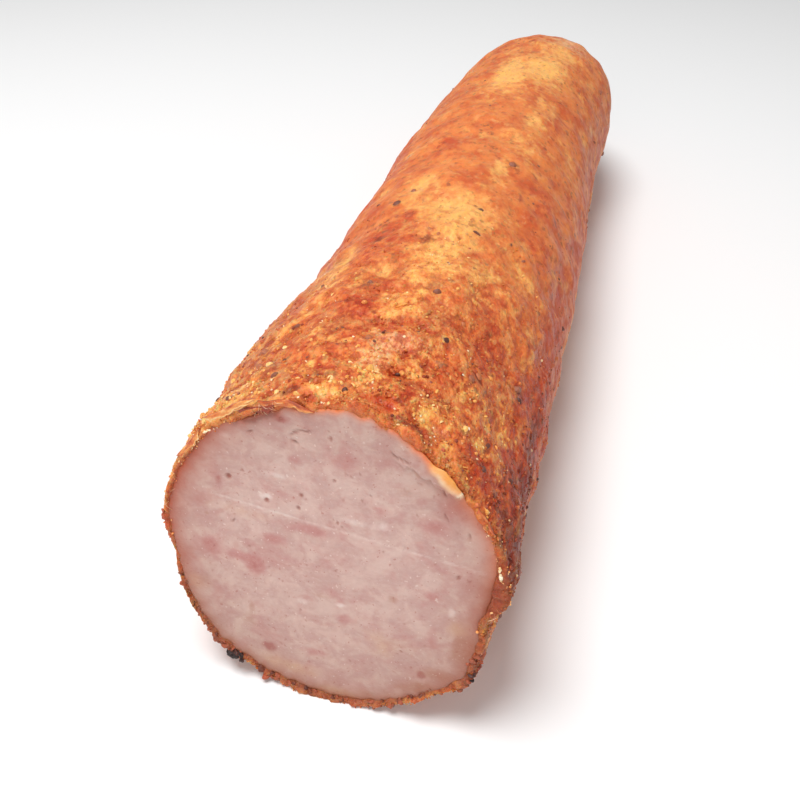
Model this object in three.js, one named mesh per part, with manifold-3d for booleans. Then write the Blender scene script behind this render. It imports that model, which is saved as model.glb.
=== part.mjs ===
// A thick, straight grill sausage with one end cut off, lying on its flank.
// Millimetres. X points right as seen from the cut, Y runs from the cut to the closed end and Z is up.
// The origin is on the surface it lies on, below the middle of its length and width.
import * as THREE from "three";
import { mergeVertices } from "three/addons/utils/BufferGeometryUtils.js";
import Module from "manifold-3d";

// Driving dimensions.
const LENGTH = 219; // middle of the cut to the tip of the closed end
const CUT_RADIUS = 25; // to the outside of the crust, at the cut
const RADIUS_LOST_PER_MM = 0.01; // the sausage grows thinner towards its closed end
const DOME_LENGTH = 50; // the rounded closed end
const CUT_LEAN = 0.19; // the top of the cut lies further back, for each millimetre of height
const CUT_TURN = -0.024; // the right side of the cut lies further forward
const LEAN_FADES_AT = 26; // past this length the rings stand square again
const FLAT_DEPTH = 0.45; // how far the underside is pressed flat
const SKIN = 1.3; // skin and crust, as thick as they show at the cut

// Grid of the surface.
const AROUND = 64;
const NEAR_LENGTH = 60; // the coarse crust next to the cut has the closest rings
const NEAR_STEP = 2.6;
const FAR_STEP = 4.3;
const DOME_RINGS = 11;

const BODY_LENGTH = LENGTH - DOME_LENGTH;
const CUT_Y = -(LENGTH - CUT_LEAN * CUT_RADIUS) / 2; // puts the middle of the whole length at Y = 0
const radians = THREE.MathUtils.degToRad;
const { lerp, smoothstep } = THREE.MathUtils;

// Broad swellings and dents: around in degrees from the right side over the top, along in mm from the cut.
const FORMS = [
  { around: 150, along: 30, wide: 30, long: 11, high: 0.85 }, // shoulder on the left
  { around: 146, along: 54, wide: 34, long: 14, high: -0.25 }, // waist behind it
  { around: 146, along: 80, wide: 34, long: 16, high: 0.3 },
  { around: 146, along: 112, wide: 40, long: 18, high: 0.85 }, // fuller again on the left
  { around: 84, along: 34, wide: 30, long: 16, high: 0.5 }, // swelling on top
  { around: 356, along: 6, wide: 22, long: 5, high: 1.4 }, // bulge at the right edge of the cut
  { around: 352, along: 1, wide: 9, long: 4, high: -2.1 }, // dent in it
  { around: 357, along: 27, wide: 24, long: 9, high: 0.65 },
  { around: 340, along: 0, wide: 9, long: 3.5, high: -1.1 },
  { around: 190, along: 0, wide: 13, long: 6, high: -1.25 }, // flattened left edge of the cut
  { around: 163, along: 2, wide: 10, long: 6, high: -0.25 },
  { around: 229, along: 1, wide: 9, long: 5, high: 1.05 }, // crags along the lower edge of the cut
  { around: 249, along: 1, wide: 6, long: 4, high: 0.2 },
  { around: 299, along: 0, wide: 6, long: 4, high: 0.25 },
  { around: 327, along: 1, wide: 10, long: 5, high: 1.15 },
  { around: 358, along: 140, wide: 36, long: 45, high: -0.2 }, // flatter along the right
  { around: 30, along: 189, wide: 24, long: 13, high: 0.95 }, // fuller shoulder of the closed end
];

// Where the skin has come away from the meat: deep narrow gaps between the two, at the cut.
const SKIN_GAPS = [
  { around: 116, wide: 15, gap: 1.1, depth: 2.6, lift: 0.7 },
  { around: 52, wide: 9, gap: 0.5, depth: 1.2, lift: 0.3 },
  { around: 358, wide: 14, gap: 0.4, depth: 0.9, lift: 0.2 },
  { around: 275, wide: 22, gap: 0.1, depth: 0.3, lift: 0.6 },
];

// The largest pepper grains and crumbs baked into the crust.
const GRAINS = { count: 60, radius: [0.7, 1.25], sunk: 0.35, clearOfCut: 5, clearOfTip: 30, seed: 71 };

// A seeded random draw from 0 to 1.
function draws(seed) {
  let state = seed;
  return () => (state = (state * 1664525 + 1013904223) % 4294967296) / 4294967296;
}

// A lumpy field round and along the sausage: a sum of waves that run in every direction, each with a
// whole number of crests round it, and from the shortest to the longest length in mm.
function waves(seed, count, shortest, longest) {
  const draw = draws(seed);
  const list = Array.from({ length: count }, (_, i) => {
    const steps = (2 * Math.PI) / lerp(shortest, longest, draw());
    const heading = (Math.PI * (i + draw())) / count;
    return {
      crests: Math.round(steps * CUT_RADIUS * Math.cos(heading)),
      rate: steps * Math.sin(heading),
      start: 2 * Math.PI * draw(),
    };
  });
  const share = Math.sqrt(2 / count);
  return (angle, along) =>
    share * list.reduce((sum, w) => sum + Math.cos(w.crests * angle + w.rate * along + w.start), 0);
}

const swells = waves(1681, 9, 32, 70);
const lumps = waves(2491, 15, 11, 22);
const crust = waves(285, 21, 6, 10);
const crags = waves(1235, 15, 5.5, 9);

// How close two directions round the sausage are: 1 at the same one, falling over the given degrees.
function near(angle, degrees, wide) {
  const apart = Math.atan2(Math.sin(angle - radians(degrees)), Math.cos(angle - radians(degrees)));
  return Math.exp(-((apart / radians(wide)) ** 2));
}

// The smooth radius, before any relief.
function plainRadius(along) {
  const side = CUT_RADIUS - RADIUS_LOST_PER_MM * Math.min(along, BODY_LENGTH);
  const intoDome = Math.max(0, along - BODY_LENGTH) / DOME_LENGTH;
  return side * Math.sqrt(Math.max(0, 1 - intoDome ** 2));
}

// The middle line: it wavers a little to the sides, and lies so that the underside rests on the surface.
function middle(along) {
  const sideways = (0.3 + 0.004 * along) * Math.sin((2 * Math.PI * (along - 42.5)) / 130);
  const height = plainRadius(Math.min(along, BODY_LENGTH)) - FLAT_DEPTH;
  return new THREE.Vector2(sideways, height);
}

// Relief in millimetres: the grilled crust is roughest next to the cut, and smooth where it lies flat.
function relief(angle, along) {
  const rough = lerp(1, 0.6, smoothstep(along, 30, 110));
  let high = 0.12 * swells(angle, along);
  high += rough * (0.2 * lumps(angle, along) + 0.14 * crust(angle, along));
  high += 0.3 * crags(angle, along) * Math.exp(-along / 3);
  for (const f of FORMS) {
    high += f.high * near(angle, f.around, f.wide) * Math.exp(-(((along - f.along) / f.long) ** 2));
  }
  const tip = smoothstep(LENGTH - along, 0, 12);
  return high * tip * (1 - near(angle, 270, 17));
}

// A point at a share of the way out from the middle line, and a distance in front of the ring's own place.
function place(angle, along, radius, forward = 0) {
  const centre = middle(along);
  const x = radius * Math.cos(angle);
  const z = radius * Math.sin(angle);
  const lean = (CUT_LEAN * z + CUT_TURN * x) * Math.max(0, 1 - along / LEAN_FADES_AT);
  return [centre.x + x, CUT_Y + along + lean - forward, Math.max(0, centre.y + z)];
}

const surfaceRadius = (angle, along) => plainRadius(along) + relief(angle, along);

// How far the skin stands away from the meat at the cut, how deep that gap is, and how far its edge is lifted.
function skinAt(angle) {
  const at = { gap: 0.12, depth: 0.25, lift: 0.22 + 0.16 * crags(angle, 2) };
  for (const g of SKIN_GAPS) {
    const share = near(angle, g.around, g.wide);
    at.gap += g.gap * share;
    at.depth += g.depth * share;
    at.lift += g.lift * share;
  }
  return at;
}

// The rings of the cut face, from the outer edge inwards: a radius, and a distance in front of the cut.
const FACE_RINGS = [
  (angle, outer, s) => [outer - 0.12, 0.75 * s.lift],
  (angle, outer, s) => [outer - 0.45 * SKIN, s.lift],
  (angle, outer, s) => [outer - SKIN, 0.5 * s.lift],
  (angle, outer, s) => [outer - SKIN - 0.2 - 0.45 * s.gap, -s.depth],
  (angle, outer, s) => [outer - SKIN - 0.4 - s.gap, -0.15],
  (angle, outer) => [0.88 * (outer - SKIN), 0.12 + 0.08 * lumps(angle, 4)],
  (angle, outer) => [0.68 * (outer - SKIN), 0.22 + 0.1 * lumps(angle, 9)],
  (angle, outer) => [0.45 * (outer - SKIN), 0.3 + 0.1 * swells(angle, 14)],
  (angle, outer) => [0.22 * (outer - SKIN), 0.34],
];

// Where the rings of the side stand, from the cut to just before the tip.
function ringPlaces() {
  const places = [];
  for (let along = 0; along < NEAR_LENGTH; along += NEAR_STEP) places.push(along);
  for (let along = NEAR_LENGTH; along < BODY_LENGTH - FAR_STEP / 2; along += FAR_STEP) places.push(along);
  for (let i = 0; i < DOME_RINGS; i++) {
    places.push(BODY_LENGTH + DOME_LENGTH * Math.sin((Math.PI / 2) * (i / DOME_RINGS)));
  }
  return places;
}

function bodyGeometry() {
  const points = [];
  const faces = [];
  const angles = Array.from({ length: AROUND }, (_, i) => (2 * Math.PI * i) / AROUND);
  const addRing = (pointAt) => angles.forEach((angle) => points.push(...pointAt(angle)));

  for (const ring of [...FACE_RINGS].reverse()) {
    addRing((angle) => place(angle, 0, ...ring(angle, surfaceRadius(angle, 0), skinAt(angle))));
  }
  for (const along of ringPlaces()) {
    addRing((angle) => place(angle, along, surfaceRadius(angle, along)));
  }
  const rings = points.length / 3 / AROUND;
  for (let ring = 0; ring + 1 < rings; ring++) {
    for (let i = 0; i < AROUND; i++) {
      const a = ring * AROUND + i;
      const b = ring * AROUND + ((i + 1) % AROUND);
      faces.push(a, b + AROUND, b, a, a + AROUND, b + AROUND);
    }
  }
  const faceMiddle = points.length / 3;
  points.push(...place(0, 0, 0, 0.36));
  const tip = faceMiddle + 1;
  points.push(...place(0, LENGTH, 0));
  const last = (rings - 1) * AROUND;
  for (let i = 0; i < AROUND; i++) {
    const next = (i + 1) % AROUND;
    faces.push(faceMiddle, i, next);
    faces.push(tip, last + next, last + i);
  }
  const geometry = new THREE.BufferGeometry();
  geometry.setAttribute("position", new THREE.Float32BufferAttribute(points, 3));
  geometry.setIndex(faces);
  return geometry;
}

// One grain: an uneven, faceted lump, pressed into the crust.
function grainGeometry(draw) {
  const angle = radians(lerp(-30, 210, draw()));
  const along = lerp(GRAINS.clearOfCut, LENGTH - GRAINS.clearOfTip, draw() ** 2);
  const radius = lerp(...GRAINS.radius, draw() ** 2);
  const stretch = [lerp(0.8, 1.35, draw()), lerp(0.8, 1.2, draw()), lerp(0.7, 1, draw())];
  const turn = new THREE.Euler(...[0, 1, 2].map(() => 2 * Math.PI * draw()));
  const centre = place(angle, along, surfaceRadius(angle, along) - GRAINS.sunk * radius);
  const grain = new THREE.IcosahedronGeometry(radius, 0);
  grain.scale(...stretch);
  grain.applyMatrix4(new THREE.Matrix4().makeRotationFromEuler(turn));
  grain.translate(...centre);
  return grain;
}

const wasm = await Module();
wasm.setup();

// A closed geometry as a solid that can be joined.
function solidOf(geometry) {
  const bare = new THREE.BufferGeometry();
  bare.setAttribute("position", geometry.getAttribute("position"));
  if (geometry.index) bare.setIndex(geometry.index);
  const merged = mergeVertices(bare, 1e-4);
  return new wasm.Manifold(
    new wasm.Mesh({
      numProp: 3,
      vertProperties: new Float32Array(merged.attributes.position.array),
      triVerts: new Uint32Array(merged.index.array),
    }),
  );
}

function geometryOf(solid) {
  const mesh = solid.getMesh();
  const geometry = new THREE.BufferGeometry();
  geometry.setAttribute("position", new THREE.BufferAttribute(mesh.vertProperties, 3));
  geometry.setIndex(new THREE.BufferAttribute(mesh.triVerts, 1));
  geometry.computeVertexNormals();
  return geometry;
}

let solid = solidOf(bodyGeometry());
const draw = draws(GRAINS.seed);
for (let i = 0; i < GRAINS.count; i++) solid = solid.add(solidOf(grainGeometry(draw)));

const grilledSkin = new THREE.MeshStandardMaterial({ color: 0xcf7440, roughness: 0.5, metalness: 0 });
const sausage = new THREE.Mesh(geometryOf(solid), grilledSkin);
sausage.name = "sausage";

const part = new THREE.Group();
part.add(sausage);
export default part;
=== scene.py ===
"""A thick grill sausage with one end cut off: browned, spice-crusted skin round pale pink meat.

Shapes are worked out in millimetres round the middle line of the sausage, and turned into metres when a
mesh is made. Two numbers name a place on the skin: around, in degrees from the right side over the top as
seen from the cut, and along, in mm from the cut towards the closed end.
"""

import math

import bpy
import numpy as np
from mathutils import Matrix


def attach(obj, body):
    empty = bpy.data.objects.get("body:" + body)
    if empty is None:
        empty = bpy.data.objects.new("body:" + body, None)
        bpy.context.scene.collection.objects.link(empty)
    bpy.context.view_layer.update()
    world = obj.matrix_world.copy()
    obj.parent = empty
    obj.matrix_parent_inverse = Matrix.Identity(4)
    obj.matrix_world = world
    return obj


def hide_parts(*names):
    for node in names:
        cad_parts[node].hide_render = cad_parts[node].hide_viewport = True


bl_info = {
    "name": "Grill Sausage",
    "version": (1, 0, 0),
    "blender": (4, 5, 0),
    "location": "View3D > Sidebar > Sausage",
    "description": "Makes a cut grill sausage with a spice-crusted skin",
    "category": "Add Mesh",
}

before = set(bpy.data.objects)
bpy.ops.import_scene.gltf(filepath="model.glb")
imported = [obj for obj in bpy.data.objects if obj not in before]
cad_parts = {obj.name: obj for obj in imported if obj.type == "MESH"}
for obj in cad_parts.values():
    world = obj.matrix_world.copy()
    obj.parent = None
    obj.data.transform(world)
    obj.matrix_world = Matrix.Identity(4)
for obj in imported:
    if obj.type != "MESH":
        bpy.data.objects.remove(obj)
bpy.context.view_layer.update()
NODE = "sausage"
BODY = "root"
MM = 0.001


# ---------------------------------------------------------------- the form

# Broad swellings and dents: around, along, how wide in degrees, how long in mm, how high in mm.
FORMS = [
    (150, 30, 30, 11, 0.85),  # shoulder on the left
    (146, 54, 34, 14, -0.25),  # waist behind it
    (146, 80, 34, 16, 0.3),
    (146, 112, 40, 18, 0.85),  # fuller again on the left
    (84, 34, 30, 16, 0.5),  # swelling on top
    (356, 6, 22, 5, 1.4),  # bulge at the right edge of the cut
    (352, 1, 9, 4, -2.1),  # dent in it
    (357, 27, 24, 9, 0.65),
    (340, 0, 9, 3.5, -1.1),
    (190, 0, 13, 6, -1.25),  # flattened left edge of the cut
    (163, 2, 10, 6, -0.25),
    (229, 1, 9, 5, 1.05),  # crags along the lower edge of the cut
    (249, 1, 6, 4, 0.2),
    (299, 0, 6, 4, 0.25),
    (327, 1, 10, 5, 1.15),
    (358, 140, 36, 45, -0.2),  # flatter along the right
    (30, 189, 24, 13, 0.95),  # fuller shoulder of the closed end
]

# Where the skin has come away from the meat at the cut: around, how wide, then in mm how much wider the gap
# between the two is there, and how much further the skin's edge is lifted.
SKIN_GAPS = [(114, 9, 0.6, 0.5), (52, 9, 0.2, 0.1), (358, 14, 0.4, 0.2), (275, 22, 0.1, 0.6)]
PLAIN_GAP = 0.12
PLAIN_LIFT = 0.22

RADIUS_LOST_PER_MM = 0.01  # the sausage grows thinner towards its closed end
DOME_LENGTH = 50
CUT_LEAN = 0.19  # the top of the cut lies further back
CUT_TURN = -0.024  # the right side of the cut lies further forward
LEAN_FADES_AT = 26
UNDERSIDE = 270  # the direction that the sausage lies on
FLAT_DEPTH = 0.45  # how far the underside is pressed flat
FLAT_SPREAD = 17  # the relief fades over so many degrees beside the underside
TIP_FADE = 12  # and over the last mm at the closed end
SWAY = 0.3  # how far the middle line sways at the cut
SWAY_PER_MM = 0.004
SWAY_START = 42.5
SWAY_LENGTH = 130
WAVE_RADIUS = 25  # at which the waves have the lengths that are given


def draws(seed):
    """Seeded draws from 0 to 1, one after the other."""
    state = seed
    while True:
        state = (state * 1664525 + 1013904223) % 4294967296
        yield state / 4294967296


def lerp(a, b, share):
    return a + (b - a) * share


def smoothstep(x, low, high):
    t = np.clip((x - low) / (high - low), 0, 1)
    return t * t * (3 - 2 * t)


def waves(seed, count, shortest, longest):
    """A lumpy field round and along the sausage: a sum of waves in every direction, lengths in mm."""
    draw = draws(seed)
    found = []
    for i in range(count):
        steps = 2 * math.pi / lerp(shortest, longest, next(draw))
        heading = math.pi * (i + next(draw)) / count
        crests = math.floor(steps * WAVE_RADIUS * math.cos(heading) + 0.5)
        found.append((crests, steps * math.sin(heading), 2 * math.pi * next(draw)))
    share = math.sqrt(2 / count)

    def field(angle, along):
        total = 0
        for crests, rate, start in found:
            total = total + np.cos(crests * angle + rate * along + start)
        return share * total

    return field


SWELLS = waves(1681, 9, 32, 70)
LUMPS = waves(2491, 15, 11, 22)
CRUST = waves(285, 21, 6, 10)
CRAGS = waves(1235, 15, 5.5, 9)
FINE_CRAGS = waves(77, 24, 1.6, 4.2)
TATTERS = waves(91, 20, 0.8, 1.8)
SWELL_HEIGHT = 0.12
LUMP_HEIGHT = 0.2
CRUST_HEIGHT = 0.14
CRAG_HEIGHT = 0.3
CRAG_REACH = 3  # mm from the cut over which the crags fade


def near(angle, degrees, wide):
    """1 in the given direction, falling to 0 over the given degrees."""
    apart = angle - math.radians(degrees)
    apart = np.arctan2(np.sin(apart), np.cos(apart))
    return np.exp(-((apart / math.radians(wide)) ** 2))


def patch(angle, along, around, at, wide, long):
    return near(angle, around, wide) * np.exp(-(((along - at) / long) ** 2))


class Form:
    """The sausage's shape, worked out from its few sizes."""

    def __init__(self, sizes):
        self.length = sizes.length / MM
        self.cut_radius = sizes.cut_radius / MM
        self.skin = sizes.skin / MM
        self.body_length = self.length - DOME_LENGTH
        self.cut_y = -(self.length - CUT_LEAN * self.cut_radius) / 2

    def plain_radius(self, along):
        """Without any relief: growing thinner, with a rounded closed end."""
        side = self.cut_radius - RADIUS_LOST_PER_MM * np.minimum(along, self.body_length)
        into_dome = np.maximum(0, along - self.body_length) / DOME_LENGTH
        return side * np.sqrt(np.maximum(0, 1 - into_dome**2))

    def middle(self, along):
        """How far to the right and how high the middle line runs."""
        sideways = (SWAY + SWAY_PER_MM * along) * np.sin(2 * math.pi * (along - SWAY_START) / SWAY_LENGTH)
        return sideways, self.plain_radius(np.minimum(along, self.body_length)) - FLAT_DEPTH

    def relief(self, angle, along):
        """How far the skin stands out from the plain radius."""
        rough = lerp(1, 0.6, smoothstep(along, 30, 110))
        high = SWELL_HEIGHT * SWELLS(angle, along)
        high = high + rough * (LUMP_HEIGHT * LUMPS(angle, along) + CRUST_HEIGHT * CRUST(angle, along))
        high = high + CRAG_HEIGHT * CRAGS(angle, along) * np.exp(-along / CRAG_REACH)
        for around, at, wide, long, height in FORMS:
            high = high + height * patch(angle, along, around, at, wide, long)
        at_tip = smoothstep(self.length - along, 0, TIP_FADE)
        return high * at_tip * (1 - near(angle, UNDERSIDE, FLAT_SPREAD))

    def radius(self, angle, along):
        return self.plain_radius(along) + self.relief(angle, along)

    def place(self, angle, along, radius, forward=0.0):
        """Points in mm, at a distance from the middle line and one in front of the ring's own place."""
        sideways, height = self.middle(along)
        x = radius * np.cos(angle)
        z = radius * np.sin(angle)
        lean = (CUT_LEAN * z + CUT_TURN * x) * np.maximum(0, 1 - along / LEAN_FADES_AT)
        y = self.cut_y + along + lean - forward
        return np.stack([sideways + x, y, np.maximum(0, height + z)], -1)

    def skin_at(self, angle):
        """The gap behind the skin at the cut, and how far the skin's edge is lifted."""
        gap = PLAIN_GAP + 0 * angle
        lift = PLAIN_LIFT + 0.16 * CRAGS(angle, 2) + 0.1 * FINE_CRAGS(angle, 1)
        for around, wide, more_gap, more_lift in SKIN_GAPS:
            share = near(angle, around, wide)
            gap = gap + more_gap * share
            lift = lift + more_lift * share
        return gap, lift


# ---------------------------------------------------------------- the rim of the cut

# Colours of the skin that soak into the cut, and one painted shade in the gap under the torn skin:
# direction, how wide in degrees, how far in mm.
STAINS = {
    "stain_left": (160, 36, 2.0),
    "stain_right": (3, 38, 2.3),
    "stain_low": (262, 60, 1.2),
    "stain_orange": (27, 13, 1.2),
    # Painted shade in the gap under the torn skin.
    "stain_gap": (113, 9, 0.9),
    "stain_brown": (327, 22, 2.0),
    "stain_top": (84, 34, 0.45),
}
# An orange, translucent strip along the upper right edge, under a thin torn layer of the slice:
# direction, and how far in mm the layer reaches in from the edge.
LAYER_REACH = [
    (38, 0),
    (41, 0.2),
    (44, 0.9),
    (47, 1.5),
    (51, 1.8),
    (55, 2.1),
    (59, 2.9),
    (64, 3.3),
    (70, 3.0),
]
STRIP = (49, 7)  # direction and half its spread in degrees
STRIP_OVERLAP = 0.95  # how far the meat lies over the skin there
TIP_OF_STRIP = 42.2  # direction of its pale tip


def stains(angle, inwards):
    """How much of each soaking colour, and of the painted shade in the gap, shows at a depth in mm inside
    the skin.
    """
    shares = {name: near(angle, around, wide) for name, (around, wide, _) in STAINS.items()}
    total = sum(shares.values()) + 1e-6
    found = {}
    for name, (_, _, reach) in STAINS.items():
        soaked = np.exp(-((np.maximum(0, inwards) / reach) ** 1.25))
        found[name] = shares[name] / total * soaked
    return found


def skin_width(form, angle):
    """The width of the skin at the cut: thinner on the left."""
    return form.skin * (1 + 0.15 * FINE_CRAGS(angle, 3)) * (1 - 0.2 * near(angle, 165, 30))


def held_down(angle):
    """The share of the skin's lift that is left: little along the strip, where the meat lies over it."""
    return 1 - 0.7 * near(angle, *STRIP)


# Where the meat ends on the left and on the right of the cut: direction, mm from the middle.
MEAT_EDGE_LEFT = [
    (118, 24.3),
    (130, 24.25),
    (142, 24.1),
    (150, 24.0),
    (157, 24.1),
    (164, 24.15),
    (171, 24.3),
    (178, 24.0),
    (186, 23.7),
    (192, 23.55),
    (199, 23.75),
    (207, 24.0),
    (216, 24.1),
]
MEAT_EDGE_RIGHT = [
    (-42, 24.2),
    (-34, 25.0),
    (-25, 24.0),
    (-17, 23.5),
    (-9, 23.05),
    (0, 23.35),
    (8, 23.75),
    (14, 24.35),
    (20, 24.75),
    (24, 24.85),
    (30, 24.75),
    (36, 24.5),
    (42, 24.2),
]
EDGE_FADE = 8  # degrees over which they give way to the rounded edge
THINNEST_SKIN = 0.38


def rounded_edge(form, angle):
    """Where the meat ends at the cut: rounder than the crust."""
    radius = form.radius(angle, 0.0)
    rounder = np.zeros_like(angle)
    weights = 0
    for turn in range(-18, 19, 3):
        weight = math.exp(-((turn / 10) ** 2))
        rounder += weight * form.radius(angle + math.radians(turn), 0.0)
        weights += weight
    edge = rounder / weights - skin_width(form, angle) + 0.1
    past_right = np.mod(angle + math.pi, 2 * math.pi) - math.pi
    for places, turned in ((MEAT_EDGE_LEFT, angle), (MEAT_EDGE_RIGHT, past_right)):
        at, out = np.transpose(places)
        degrees = np.degrees(turned)
        inside = smoothstep(degrees, at[0], at[0] + EDGE_FADE)
        inside = inside * smoothstep(-degrees, -at[-1], EDGE_FADE - at[-1])
        seen = np.interp(degrees, at, out) + 0.05 * FINE_CRAGS(angle, 9)
        edge = lerp(edge, seen, inside)
    return np.minimum(edge, radius - THINNEST_SKIN)


def meat_edge(form, angle):
    """The meat's edge with the gaps under the skin, and the strip where it lies over the skin."""
    gap = form.skin_at(angle)[0]
    return rounded_edge(form, angle) - 0.9 * (gap - PLAIN_GAP) + STRIP_OVERLAP * near(angle, *STRIP)


# ---------------------------------------------------------------- colour patches

# Each: around, along, how wide in degrees, how long in mm, how strong.
GOLDEN_AND_HIGHLIGHT = [
    (81, 46, 9, 12, 1.0),
    (84, 63, 15, 9, 1.0),
    (84, 30, 7, 4, 0.6),
    (121, 45, 6, 7, 0.7),
    (116, 31, 8, 5, 0.6),
    (63, 6, 4, 3, 1.0),
    (54, 7.5, 3, 2, 0.5),
    (124, 7, 6, 4, 0.8),
    (93, 4, 6, 3, 0.8),
    (44, 9.5, 5, 2.5, 0.7),
    (34, 16.5, 3, 2, 0.8),
    (45, 54, 6, 4, 0.6),
    (63, 44, 6, 6, 0.7),
    # The patches on the top from 145 to 172 mm along, near the closed end, are a painted highlight.
    (94, 145, 10, 17, 1.0),
    (75, 155, 10, 8, 0.9),
    (67, 118, 7, 8, 0.7),
    (76, 87, 4, 4, 0.7),
    (108, 75, 9, 6, 0.5),
    (72, 103, 8, 8, 0.5),
    (70, 172, 16, 8, 0.6),
    (150, 8, 12, 12, 0.2),
    (134, 4, 12, 4, 0.6),
    (85, 12, 7, 6, 0.7),
    (84, 5, 5, 3, 0.5),
    (72, 150, 13, 13, 0.6),
]
REDDISH_AND_FLANK_SHADE = [
    (99, 28, 8, 3, 0.8),
    (57, 27, 10, 7, 0.3),
    (57, 41, 6, 5, 0.7),
    (93, 53, 6, 3, 0.9),
    (111, 51, 8, 4, 0.7),
    (98, 14, 5, 3, 0.45),
    (68, 12, 7, 3, 0.45),
    (76, 3.5, 7, 2, 0.6),
    (36, 5, 11, 3.5, 0.9),
    (26, 13, 7, 5, 0.7),
    (50, 80, 8, 8, 0.6),
    (104, 60, 8, 5, 0.5),
    (30, 31, 8, 5, 0.6),
    (128, 60, 10, 8, 0.35),
    (55, 122, 5, 6, 0.5),
    (108, 96, 9, 8, 0.5),
    # The long patches below along the right flank (around 4 to 19) and the left flank (around 146 to 163)
    # darken both sides: painted shade.
    (14, 70, 16, 40, 0.7),
    (19, 36, 13, 26, 0.6),
    (48, 6, 5, 3, 0.7),
    (146, 88, 14, 32, 0.7),
    (10, 140, 16, 40, 0.5),
    (4, 20, 16, 26, 0.7),
    (160, 120, 18, 50, 0.5),
    (163, 45, 14, 20, 0.5),
    (106, 44, 8, 6, 0.6),
    (84, 72, 5, 3, 0.4),
    (46, 65, 7, 8, 0.5),
    (88, 8, 4, 2.5, 0.5),
    (52, 15, 8, 3, 0.35),
    (75, 26, 5, 2.5, 0.2),
    (128, 33, 6, 4, 0.5),
]
SCORCHED = [
    (17, 26, 6, 8, 0.8),
    (9, 8, 10, 10, 1.0),
    (7, 1, 13, 3.5, 1.0),
    (333, 0.5, 17, 2.5, 0.85),
    (212, 0.5, 24, 2.5, 0.75),
    (22, 5, 7, 4, 0.6),
    (5, 16, 8, 8, 0.6),
    (25, 12, 3, 2.5, 0.8),
    (95, 6.5, 3, 0.8, 0.7),
    (98, 4.5, 3.5, 0.7, 0.8),
    (52, 21, 2.5, 2, 0.7),
    (103, 1.8, 2, 0.9, 1.0),
    (90, 52, 2, 1.8, 0.9),
    (71, 90, 3, 2, 0.6),
    (58, 60, 2, 1.3, 0.8),
    (67, 1.6, 5, 1.1, 1.0),
    (118, 24, 1.5, 1.0, 0.9),
    (110, 53, 3, 1.6, 0.6),
    (112, 59, 3, 2, 0.5),
]
TAN = [
    (134, 14, 16, 14, 1.0),
    (146, 34, 12, 12, 0.8),
    (124, 44, 9, 9, 0.8),
    (104, 22, 9, 5, 0.8),
    (72, 30, 8, 8, 0.7),
    (42, 22, 6, 8, 0.6),
    (118, 6, 12, 5, 0.7),
    (98, 40, 8, 4, 0.6),
    (60, 9, 7, 4, 0.6),
    (88, 98, 10, 9, 0.5),
    (112, 150, 12, 16, 0.4),
]
GREYISH = [
    (117, 11, 4, 3, 0.9),
    (99, 35, 4, 1.6, 0.8),
    (78, 37, 5, 1.8, 0.5),
    (33, 28, 3, 2.5, 0.9),
    (64, 18.5, 3, 1.2, 0.7),
    (52, 20.5, 3, 2.4, 0.7),
    (18, 24, 4, 5, 0.8),
    (69, 10, 4, 2, 0.4),
]
PALE_AND_HIGHLIGHT = [
    (83, 18.5, 6, 3.5, 1.0),
    (84, 12.5, 6, 3, 0.8),
    (57, 5, 3, 1.6, 0.7),
    (74, 20, 5, 2, 0.6),
    # A painted highlight near the closed end.
    (70, 185, 20, 9, 0.7),
]
# The side away from the view carries the same sorts of patches, scattered by a seeded rule.
FAR_SIDE = (172, 356)  # from and to in degrees
PATCHED_LENGTH = (2, 190)  # from and to in mm along


def scattered_patches(seed, count, wide, long, strong):
    draw = draws(seed)
    return [
        (
            lerp(*FAR_SIDE, next(draw)),
            lerp(*PATCHED_LENGTH, next(draw)),
            lerp(*wide, next(draw)),
            lerp(*long, next(draw)),
            lerp(*strong, next(draw)),
        )
        for _ in range(count)
    ]


GOLDEN_AND_HIGHLIGHT += scattered_patches(5, 26, (5, 13), (3, 12), (0.5, 1))
REDDISH_AND_FLANK_SHADE += scattered_patches(6, 26, (5, 12), (3, 9), (0.5, 0.9))
SCORCHED += scattered_patches(7, 22, (1.5, 6), (1, 6), (0.6, 0.9))
GREYISH += scattered_patches(8, 12, (3, 5), (1.5, 4), (0.5, 0.9))
TAN += scattered_patches(9, 22, (7, 15), (5, 14), (0.5, 1))
PATCHES = {
    "golden": GOLDEN_AND_HIGHLIGHT,
    "reddish": REDDISH_AND_FLANK_SHADE,
    "scorched": SCORCHED,
    "greyish": GREYISH,
    "pale": PALE_AND_HIGHLIGHT,
    "tan": TAN,
}


def painted(patches, angle, along):
    """How strongly patches of one colour show."""
    total = np.zeros(np.broadcast(angle, along).shape)
    for around, at, wide, long, strong in patches:
        total += strong * patch(angle, along, around, at, wide, long)
    return total


# ---------------------------------------------------------------- mesh helpers


def make_object(name, points, faces, attributes=None, smooth=True):
    """A mesh from points in mm, with a float attribute for each named array."""
    mesh = bpy.data.meshes.new(name)
    mesh.from_pydata(np.asarray(points).reshape(-1, 3) * MM, [], faces)
    for key, values in (attributes or {}).items():
        data = mesh.attributes.new(key, "FLOAT", "POINT").data
        data.foreach_set("value", np.asarray(values, np.float32).ravel())
    if smooth and len(mesh.polygons):
        mesh.shade_smooth()
    thing = bpy.data.objects.new(name, mesh)
    bpy.context.scene.collection.objects.link(thing)
    return thing


def ring_faces(rings, around):
    """Quads between neighbouring rings of points."""
    ring, spot = np.meshgrid(np.arange(rings - 1), np.arange(around), indexing="ij")
    a = ring * around + spot
    b = ring * around + (spot + 1) % around
    return np.stack([a, a + around, b + around, b], -1).reshape(-1, 4).tolist()


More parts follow.
